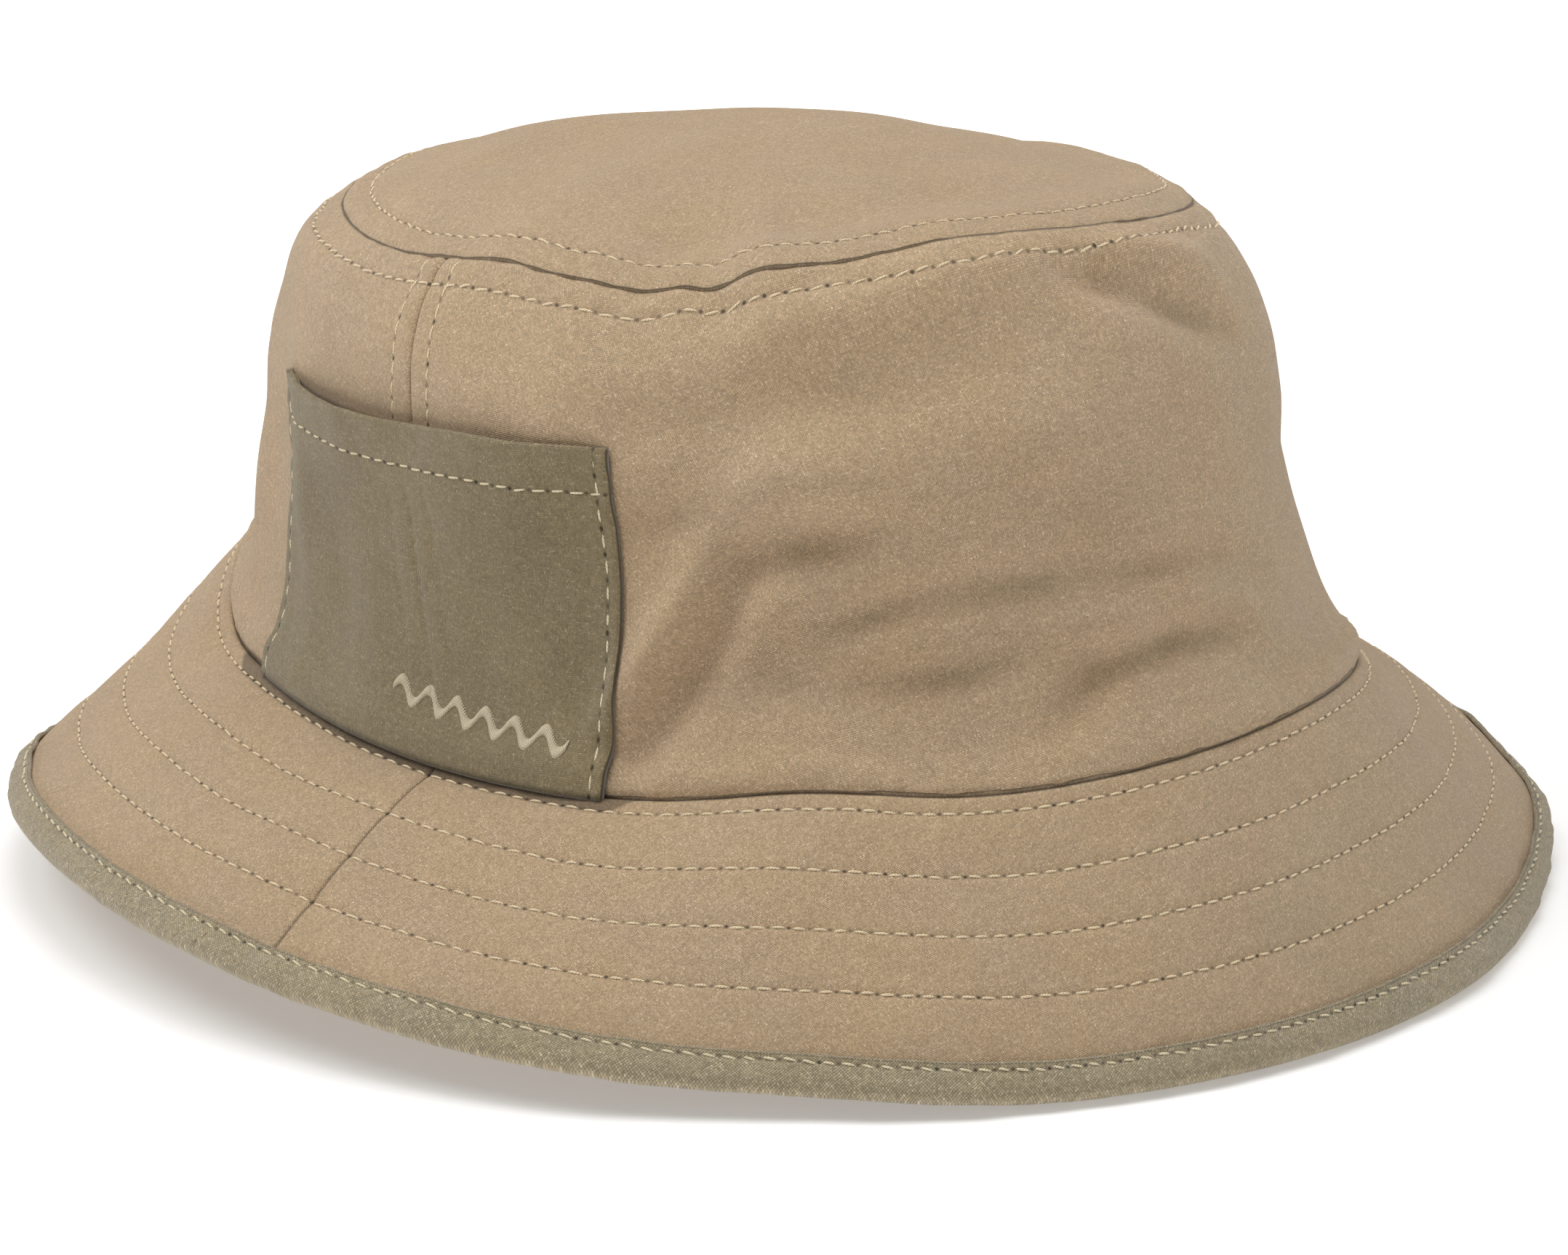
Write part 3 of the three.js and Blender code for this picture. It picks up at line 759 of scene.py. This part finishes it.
# ---- materials
class Net:
    """Shader nodes made by short calls."""

    def __init__(self, name):
        self.material = bpy.data.materials.new(name)
        self.material.use_nodes = True
        self.tree = self.material.node_tree
        self.shader = self.tree.nodes["Principled BSDF"]

    def put(self, socket, value):
        if isinstance(value, bpy.types.NodeSocket):
            self.tree.links.new(value, socket)
        else:
            socket.default_value = value

    def node(self, kind, inputs=(), **settings):
        node = self.tree.nodes.new("ShaderNode" + kind)
        for key, value in settings.items():
            setattr(node, key, value)
        for key, value in dict(inputs).items():
            self.put(node.inputs[key], value)
        return node

    def math(self, operation, *values):
        node = self.node("Math", operation=operation)
        for socket, value in zip(node.inputs, values):
            self.put(socket, value)
        return node.outputs[0]

    def blend(self, factor, a, b):
        """A number between a and b."""
        return self.node("Mix", {0: factor, 2: a, 3: b}).outputs[0]

    def ease(self, value, low, high, to_low=0, to_high=1):
        node = self.node("MapRange", interpolation_type="SMOOTHSTEP")
        for socket, given in zip(node.inputs, (value, low, high, to_low, to_high)):
            self.put(socket, given)
        return node.outputs[0]

    def times(self, a, b):
        return self.math("MULTIPLY", a, b)

    def plus(self, a, b):
        return self.math("ADD", a, b)

    def scaled(self, value, factor, more):
        return self.math("MULTIPLY_ADD", value, factor, more)

    def uv(self, layer):
        return self.node("UVMap", uv_map=layer).outputs[0]

    def split(self, vector):
        return self.node("SeparateXYZ", {0: vector}).outputs

    def mix(self, factor, a, b):
        """A colour between a and b."""
        return self.node("Mix", {0: factor, 6: a, 7: b}, data_type="RGBA").outputs[2]

    def bump(self, height, strength, distance, **base):
        given = {"Height": height, "Strength": strength, "Distance": distance}
        return self.node("Bump", given | base).outputs[0]

    def look(self, inputs):
        for key, value in inputs.items():
            self.put(self.shader.inputs[key], value)
        return self.material

    def vector(self, x, y, z=0):
        return self.node("CombineXYZ", {0: x, 1: y, 2: z}).outputs[0]

    def noise(self, vector, scale, detail=2):
        node = self.node("TexNoise", {"Vector": vector, "Scale": scale, "Detail": detail})
        return node.outputs["Fac"]

    def tint(self, colour, factor):
        """The colour, made lighter or darker by a factor about 1."""
        node = self.node("VectorMath", {0: colour, "Scale": factor}, operation="SCALE")
        return node.outputs[0]


def linear(red, green, blue):
    """Scene-linear colour from display values of 0 to 255."""
    return [((c / 255 + 0.055) / 1.055) ** 2.4 if c > 10 else c / 3294 for c in (red, green, blue)]


def painted_stitch_shade(net, layer):
    """Painted shade: 1 on plain cloth, less at needle holes and in the thread's groove, where shade falls."""
    row = net.split(net.uv(layer))
    count, across = row[0], net.math("ABSOLUTE", row[1])
    along = net.times(net.math("PINGPONG", count, 0.5), STITCH * 0.75)
    reach = net.math("SQRT", net.plus(net.math("POWER", along, 2), net.math("POWER", across, 2)))
    which = net.node("TexWhiteNoise", {"Vector": net.vector(net.math("ROUND", count), 0.5)})
    dark = net.ease(which.outputs["Value"], 0, 1, 0.18, 0.6)
    hole = net.node("MapRange", {0: reach, 1: 0.14, 2: 0.36, 3: dark, 4: 1}).outputs[0]
    return net.times(hole, net.ease(across, 0.15, 0.5, 0.86, 1))


def painted_seam_shade(net):
    """Painted shade: 1 on plain cloth, less in a seam's ditch and beside or under another piece, where shade
    falls.
    """
    near = net.split(net.uv("seams"))
    seam = net.ease(net.math("ABSOLUTE", near[0]), 0, 0.4, 0.25, 1)
    return net.times(seam, net.ease(near[1], -0.1, 0.9, 0.42, 1))


def weave(net, place, pitch):
    """Plain weave: the height of the threads, whether the warp is on top, the cell's own random
    number and the slow changes of tone along the weft's and the warp's threads."""
    wander = {"Vector": place, "Scale": 190, "Detail": 3, "Roughness": 0.62}
    wobble = net.split(net.node("TexNoise", wander).outputs["Color"])
    parts = net.split(place)
    x, y = (net.scaled(parts[k], 1000 / pitch, net.times(wobble[k], 3)) for k in (0, 1))  # in threads
    column, row = net.math("FLOOR", x), net.math("FLOOR", y)
    across, along = (net.math("SINE", net.times(net.math("FRACT", value), PI)) for value in (x, y))
    odd = net.math("PINGPONG", net.plus(column, row), 1)

    def hump(width, length):
        return net.times(net.math("POWER", width, 0.6), net.scaled(length, 0.5, 0.5))

    height = net.blend(odd, hump(along, across), hump(across, along))
    weft = net.noise(net.vector(net.times(x, 0.16), net.times(row, 7.31)), 1)
    warp = net.noise(net.vector(net.times(column, 5.77), net.times(y, 0.17), 9), 1)
    cell = net.node("TexWhiteNoise", {"Vector": net.vector(column, row)}).outputs["Value"]
    return height, odd, cell, weft, warp


def cloth(name, colour, pitch, fleck=0.5, speckle=0.26, mottle=0.16, depth=0.7, gap=0.6, sheen=0.4, wear=0):
    """Plain-weave cloth. pitch is the thread spacing in millimetres, fleck the paler thick threads,
    speckle and mottle the changes of tone from cell to cell and over patches, gap the tone of the
    painted shade between threads, depth the weave's relief and wear the share of scuffed spots."""
    net = Net(name)
    place = net.uv("cloth")
    height, odd, cell, weft, warp = weave(net, place, pitch)
    slub, thin = net.ease(weft, 0.56, 0.72), net.ease(warp, 0.6, 0.74)
    thick = net.blend(odd, slub, net.times(thin, 0.7))
    light = net.scaled(thick, 0.8, net.ease(cell, 0.95, 1, 0, 0.7))
    tone = net.scaled(cell, speckle, 1 - 0.5 * speckle)
    tone = net.scaled(net.blend(odd, weft, warp), 0.5, net.math("SUBTRACT", tone, 0.25))
    patches = net.noise(place, 45, 4)
    tone = net.scaled(patches, mottle, net.math("SUBTRACT", tone, 0.5 * mottle))
    # Painted shade: the tone is darker in the gaps between threads, and this mask darkens needle holes,
    # stitch grooves, seam ditches and places beside other pieces; it also sinks the weave's relief there.
    painted_shade = net.times(net.times(painted_stitch_shade(net, "round"), painted_stitch_shade(net, "upward")), painted_seam_shade(net))
    tone = net.times(net.times(tone, net.ease(height, 0.05, 0.6, gap, 1)), painted_shade)
    red, green, blue = colour
    warm, cool = (red * 1.01, green, blue * 0.98, 1), (red * 0.99, green, blue * 1.02, 1)
    hue = net.mix(net.ease(net.noise(place, 60), 0.3, 0.7), warm, cool)
    pale = [lerp(part, top, 0.55) for part, top in zip(colour, PALE)]
    shade = net.tint(net.mix(net.times(light, fleck), hue, (*pale, 1)), tone)
    if wear:
        shade = net.mix(net.ease(net.noise(place, 95, 4), 0.68, 0.8, 0, wear), shade, SCUFF)
    body = net.times(net.scaled(slub, 0.35, height), painted_shade)
    threads = net.bump(body, depth, 0.00016)
    crinkle = net.bump(net.noise(place, 230, 3), 0.5, 0.0006, Normal=threads)
    return net.look({
        "Base Color": shade, "Normal": crinkle, "Roughness": net.ease(cell, 0, 1, 0.84, 0.98),
        "Sheen Weight": sheen, "Sheen Roughness": 0.45, "Specular IOR Level": 0.25,
    })


def thread(name, colour, twist=0.55, round_it=0.78):
    """Sewing thread lying along the map's first axis, with its twist and its way round in millimetres."""
    net = Net(name)
    along, across = net.split(net.uv("cloth"))[:2]
    turn = net.plus(net.times(along, TURN * 1000 / twist), net.times(across, TURN * 1000 / round_it))
    ply = net.scaled(net.math("SINE", turn), 0.5, 0.5)
    hair = net.noise(net.vector(net.times(along, 900), net.times(across, 9000)), 1)
    # Painted shade and highlight: the ply's grooves are darker and its crests lighter, as the twist's relief
    # would be lit; the hairs' tone changes at random.
    tone = net.times(net.ease(ply, 0, 0.8, 0.78, 1.12), net.ease(hair, 0.2, 0.8, 0.85, 1.12))
    return net.look({
        "Base Color": net.tint([*colour], tone), "Normal": net.bump(ply, 0.6, 0.0001),
        "Roughness": net.ease(hair, 0, 1, 0.5, 0.75), "Sheen Weight": 0.15,
    })


PALE = (1, 0.9, 0.74)
SCUFF = (0.5, 0.47, 0.4, 1)
TAN = linear(209, 181, 146)
OLIVE = linear(155, 139, 106)
# The binding's olive, paler than the pocket's.
PALER_OLIVE = linear(190, 174, 142)
TAN_THREAD = linear(252, 231, 194)
OLIVE_THREAD = linear(246, 232, 196)
MOTIF_THREAD = linear(226, 211, 182)
STONE = linear(201, 192, 174)
CHALK = linear(228, 224, 214)


# ---- columns and rows
def fine_columns(start, end, count):
    """Columns between two side seams, closer together beside them."""
    near, clear = np.array([0, 0.0012, 0.0026, 0.0045, 0.0075]) * PI, 0.0095 * PI
    middle = np.linspace(start, end, count + 1)
    middle = middle[(middle > start + clear) & (middle < end - clear)]
    return np.concatenate([start + near, middle, end - near[::-1]])


def rows_with(low, high, step, fine, spots):
    """Values a step apart from low to high, and a fine step apart within reach of each spot."""
    values = [np.arange(low, high, step), [high]]
    values += [np.arange(spot - reach, spot + reach + fine / 2, fine) for spot, reach in spots.items()]
    values = np.sort(np.concatenate(values))
    kept = [low]
    for value in values[(values >= low) & (values <= high)]:
        if value - kept[-1] > 0.6 * min(step, fine):
            kept.append(value)
    return np.array(kept)


ROUND = np.linspace(0, TURN, 568, endpoint=False)
FRONT, BACK = fine_columns(PI, TURN, 290), fine_columns(0, PI, 290)
CROWN_SIDES = ["crown_side_front", "crown_side_back"]


def build_crown(material):
    rows = rows_with(0, 1, 1 / RISE, 0.3 / RISE, {0: 2 / RISE, CROWN_ROW: 1.6 / RISE, 1: 2 / RISE})
    lay = lambda t, v, rise: on_crown(leaned(t, v), v, rise)
    for side, columns in zip(CROWN_SIDES, (FRONT, BACK)):
        piece = sheet_panel(f"{side}_cloth", lay, columns, rows, 0, CROWN_FAR, crown_map)
        finish(piece, side, material)
    radii = np.concatenate([np.linspace(0.02, 0.9, 52), np.linspace(0.906, 1.0, 26)])
    piece = round_sheet("crown_tip_cloth", on_tip, ROUND, radii, 0, TIP_FAR, tip_map)
    finish(piece, "crown_tip", material)


def build_brim(tan, olive, stone):
    spots = dict.fromkeys((0, *BRIM_ROWS), 1.5 / BRIM_WIDTH)
    rows = rows_with(-0.012, 0.94, 1 / BRIM_WIDTH, 0.3 / BRIM_WIDTH, spots)
    for half, start in (("front", PI), ("back", 0)):
        columns = fine_columns(start, start + PI, 420)
        for node, lay, across, near, far in (
            (f"brim_top_{half}", on_brim, columns, 0, SHELL),
            (f"brim_under_{half}", under_brim, columns[::2], UNDER_NEAR, UNDER_FAR),
        ):
            piece = sheet_panel(f"{node}_cloth", lay, across, rows, near, far, brim_map)
            finish(piece, node, tan)
    places = (0.01, 0.5, 0.93)
    section = [(q, -STIFF_NEAR) for q in places] + [(q, -STIFF_FAR) for q in places[::-1]]
    plain = lambda t, q, rise: offset(brim, t, q, rise)
    piece = ring_band("brim_stiffener", plain, ROUND[::3], section, band_map)
    finish(piece, "brim_interlining", stone)
    build_binding(olive)


def build_binding(material):
    """A folded strip: its section runs over the top, round the nose, back below and inside again."""
    middle = UNDER_FAR / 2
    outer, inner = middle + BINDING_OUT, middle + BINDING_IN
    centre = 1 - BINDING_NOSE / BRIM_WIDTH
    hem = BINDING_SHARE
    top = [(hem, inner), (hem - 0.006, (inner + outer) / 2), (hem + 0.004, outer)]
    for q in np.linspace(hem, centre, 18)[1:-1]:
        top.append((q, outer - BINDING_DITCH * bell((q - BINDING_ROW) * BRIM_WIDTH, 0.6)))
    below = [(q, -rise) for q, rise in top[::-1]]

    def nose(radius, angles):
        return [(centre + radius * math.cos(a) / BRIM_WIDTH, radius * math.sin(a)) for a in angles]

    turn = np.linspace(PI / 2, -PI / 2, 13)
    section = top + nose(outer, turn) + below
    section += [(centre, -inner)] + nose(inner, turn[::-2]) + [(centre, inner)]
    columns = np.linspace(0, TURN, 900, endpoint=False)
    section = [(q, rise - middle) for q, rise in section]
    piece = ring_band("brim_binding_cloth", on_binding, columns, section, binding_map)
    finish(piece, "brim_binding", material)


def build_pocket(material):
    beside = np.array([0, 0.004, 0.01, 0.018, 0.028])
    u = np.concatenate([-1 + beside, np.linspace(-0.96, 0.96, 150), 1 - beside[::-1]])
    w = rows_with(0, 1, 0.014, 0.006, {0: 0.03, 1 - POCKET_HEM: 0.03, 1: 0.02})

    def lay(t, v, rise):
        """The panel's outer face rolls at its edges and mouth, and its inner one meets the crown there."""
        edge = POCKET_HALF * (1 - np.abs(t))
        lift = np.where(rise > -0.1, 0.22 * bell(edge, 3) - 0.25 * bell(edge, 0.25), 0)
        mouth = 0.25 * bell((1 - v) * POCKET_HEIGHT, 2) * (rise > -0.1)
        sink = np.where(rise < -0.3, -0.6 * bell(edge, 1), 0)
        return on_pocket(t, v, rise + lift + mouth + sink)

    piece = sheet_panel("pocket_cloth", lay, u, w, 0, SHELL, pocket_map)
    finish(piece, "pocket_panel", material)
    columns, rows = np.linspace(-0.97, 0.97, 90), np.linspace(1 - POCKET_HEM, 0.992, 8)
    piece = sheet_panel("pocket_hem_cloth", on_pocket, columns, rows, SHELL + 0.05, SHELL + 0.5, pocket_map)
    finish(piece, "pocket_hem_facing", material)


def build_inside(tan, stone, chalk, olive):
    rows = rows_with(0.03, 0.96, 2 / RISE, 0.01, {0.03: 0.02})
    lay = lambda t, v, rise: inside_crown(leaned(t, v), v, rise)
    for half, columns in (("front", FRONT[::2]), ("back", BACK[::2])):
        piece = sheet_panel(f"lining_side_{half}_cloth", lay, columns, rows, *LINING, unmarked(crown_map))
        finish(piece, f"lining_side_{half}", stone)
    radii = np.linspace(0.02, 0.965, 40)
    piece = round_sheet("lining_tip_cloth", inside_tip, ROUND[::2], radii, *LINING, unmarked(tip_map))
    finish(piece, "lining_tip", stone)
    build_sweatband(tan)
    turned_in = lambda t, v, rise: inside_crown(t, v, rise - 2.2 * smooth(0.36, 0.12, v) ** 2)
    for name, start, end in (("care", -0.13, 0.13), ("size", 0.18, 0.3)):
        columns, rows = PI / 2 + np.linspace(start, end, 30), np.linspace(0.13, 0.4, 24)
        piece = sheet_panel(f"{name}_label_cloth", turned_in, columns, rows, *LABEL, band_map)
        finish(piece, f"{name}_label", chalk)
    build_tip_label(olive)


def build_sweatband(material):
    low, high = 0.015, 0.44
    middle = -(BAND_NEAR + BAND_FAR) / 2
    climb = list(np.linspace(low, high, 24))
    section = [(v, -BAND_NEAR - 0.1 * math.cos(PI * (v - low) / (high - low))) for v in climb]
    section += [(high + 0.008, middle)] + [(v, -BAND_FAR) for v in climb[::-1]] + [(low - 0.006, middle)]
    piece = ring_band("sweatband_cloth", inside_crown, ROUND, section, band_map)
    finish(piece, "sweatband", material)


def build_tip_label(material):
    def lay(a, b, rise):
        angle = np.arctan2(b / TOP[1], a / TOP[0])
        r = np.hypot(a / TOP[0], b / TOP[1])
        return inside_tip(angle, np.maximum(r, 1e-4), rise)

    # a little off the middle, so that no point falls on the tip's pole
    wide, deep = np.linspace(-10, 10, 20) + 0.013, np.linspace(-23, 23, 44) + 0.017
    piece = sheet_panel("tip_label_cloth", lay, wide, deep, *TIP_LABEL, mapped, step=0.15)
    finish(piece, "maker_label", material)


def build_stitches(threads):
    def add(node, slot, *rows):
        piece = stitches(rows).make(node.replace("topstitch", "stitches"))
        finish(piece, node, threads[slot])

    slant = 0.0022
    add("tip_topstitch", "thread_tan", row_round(on_tip, TIP_ROW, TIP_STITCHES, slant, seed=31))
    add("crown_topstitch", "thread_tan", row_round(on_crown, crown_row, CROWN_STITCHES, slant, seed=32))
    for i, (share, count) in enumerate(zip(BRIM_ROWS, BRIM_STITCHES)):
        top = row_round(on_brim, share, count, seed=33 + i)
        below = row_round(under_brim, share, count, seed=43 + i, face=-UNDER_FAR - 0.001)
        add(f"brim_topstitch_{i + 1}", "thread_tan", top, below)
    lift = BINDING_OUT - BINDING_DITCH
    top = row_round(on_binding, BINDING_ROW, BINDING_STITCHES, 0.004, seed=51, face=lift)
    below = row_round(on_binding, BINDING_ROW, BINDING_STITCHES, seed=52, face=-UNDER_FAR - lift)
    add("binding_topstitch", "thread_olive", top, below)
    places = (("right_front", PI + SIDE_ROWS), ("right_back", PI - SIDE_ROWS),
              ("left_front", -SIDE_ROWS), ("left_back", SIDE_ROWS))
    for i, (name, t) in enumerate(places):
        row = row_up(on_crown, lambda v: leaned(np.full_like(v, t), v), SIDE_STITCHES, seed=61 + i)
        add(f"side_topstitch_{name}", "thread_tan", row)
    ends = {"start": -HEM_ROW_END, "end": HEM_ROW_END}
    row = row_round(on_pocket, 1 - POCKET_HEM, HEM_STITCHES, 0.002, seed=71, **ends)
    add("pocket_hem_topstitch", "thread_olive", row)
    for side, name in ((-1, "back"), (1, "front")):
        u = side * (1 - POCKET_ROW / POCKET_HALF)
        row = row_up(on_pocket, lambda w: np.full_like(w, u), POCKET_STITCHES, seed=73 + side)
        add(f"pocket_edge_topstitch_{name}", "thread_olive", row)


def build_motif(material):
    """A wave of satin stitch: short threads side by side across the line."""
    count, waves = 150, 6
    s = (np.arange(count) + 0.5) / count
    u = lerp(-0.02, 0.83, s)
    w = lerp(0.18, 0.13, s) + 0.027 * np.sin(TURN * waves * s)
    half, lean = 0.018, 0.005
    row = (on_pocket, (u - lean, u + lean), (w - half, w + half), 0.12)
    finish(stitches([row]).make("pocket_motif"), "pocket_embroidery", material)


# ---- studio
FLOOR_DROP, FLOOR_REACH = 0.0004, 30
LIGHT_SIZE = 1.2
LIGHTS = {  # place in metres and power in watts
    "key": ((-0.8, 0.8, 1.7), 15), "top": ((0, 0, 2.06), 17.6),
    "fill": ((0.8, -0.8, 1.7), 5.2), "back": ((1.3, 1.3, 0.9), 3.4),
}


def area_light(name, place, target, power):
    light = bpy.data.lights.new(name, "AREA")
    light.shape, light.size, light.energy = "DISK", LIGHT_SIZE, power
    lamp = add_object(name, light)
    lamp.location = place
    lamp.rotation_euler = (Vector(target) - Vector(place)).to_track_quat("-Z", "Y").to_euler()


def build_floor():
    """Pale paper whose own glow grows away from the hat."""
    net = Net("floor_paper")
    place = net.node("TexCoord").outputs["Object"]
    level = net.ease(net.noise(place, 40), 0, 1, 0.90, 0.92)
    away = net.node("VectorMath", {0: place}, operation="LENGTH").outputs["Value"]
    paper = net.look({
        "Base Color": net.vector(level, level, level), "Roughness": 0.9, "Specular IOR Level": 0.1,
        "Emission Color": (1, 1, 1, 1), "Emission Strength": net.ease(away, 0.3, 1, 0.28, 1),
    })
    mesh = bpy.data.meshes.new("floor")
    corners = [(x * FLOOR_REACH, y * FLOOR_REACH, 0) for x, y in ((-1, -1), (1, -1), (1, 1), (-1, 1))]
    mesh.from_pydata(corners, [], [(0, 1, 2, 3)])
    floor = add_object("floor", mesh)
    floor.data.materials.append(paper)
    floor.location.z = -FLOOR_DROP


def build_studio():
    build_floor()
    world = bpy.data.worlds.new("studio")
    scene.world = world
    world.use_nodes = True
    sky = world.node_tree.nodes["Background"]
    sky.inputs["Color"].default_value = (1, 0.995, 0.985, 1)
    sky.inputs["Strength"].default_value = 0.15
    for name, (place, power) in LIGHTS.items():
        area_light(name, place, (cad_box[0] + cad_box[1]) / 2, power)
    scene.view_settings.view_transform = "Standard"


def build_camera():
    azimuth, elevation = math.radians(-50.6), math.radians(17.1)
    distance, aim = 0.713, 36.2  # metres, and millimetres up the hat
    back = np.array([math.sin(azimuth) * math.cos(elevation),
                     -math.cos(azimuth) * math.cos(elevation), math.sin(elevation)])
    camera = bpy.data.cameras.new("camera")
    camera.lens, camera.sensor_width = 95.7, 36
    camera.shift_x = -0.0037105  # share of the frame's width
    camera.clip_start, camera.clip_end = 0.01, 100
    eye = add_object("camera", camera)
    eye.location = PLACE + [0, 0, aim * MM] + back * distance
    eye.rotation_euler = Vector(-back).to_track_quat("-Z", "Y").to_euler()
    scene.camera = eye


def main():
    build_camera()
    build_studio()
    tan = cloth("tan_cloth", TAN, 0.27, speckle=0.32, sheen=0.25)
    olive = cloth("olive_cloth", OLIVE, 0.27, fleck=0.26, speckle=0.36, mottle=0.42, gap=0.5, wear=0.35)
    binding_olive = cloth("binding_cloth", PALER_OLIVE, 0.33, speckle=0.42, depth=0.9, gap=0.36)
    stone = cloth("lining_cloth", STONE, 0.36, fleck=0.08, speckle=0.08, depth=0.4, gap=0.75)
    chalk = cloth("label_cloth", CHALK, 0.3, fleck=0.02, speckle=0.05, depth=0.4, gap=0.85)
    tan_thread, olive_thread = thread("tan_thread", TAN_THREAD), thread("olive_thread", OLIVE_THREAD)
    build_crown(tan)
    build_brim(tan, binding_olive, stone)
    build_pocket(olive)
    build_inside(tan, stone, chalk, olive)
    build_stitches({"thread_tan": tan_thread, "thread_olive": olive_thread})
    build_motif(thread("motif_thread", MOTIF_THREAD))


main()
bpy.context.view_layer.update()
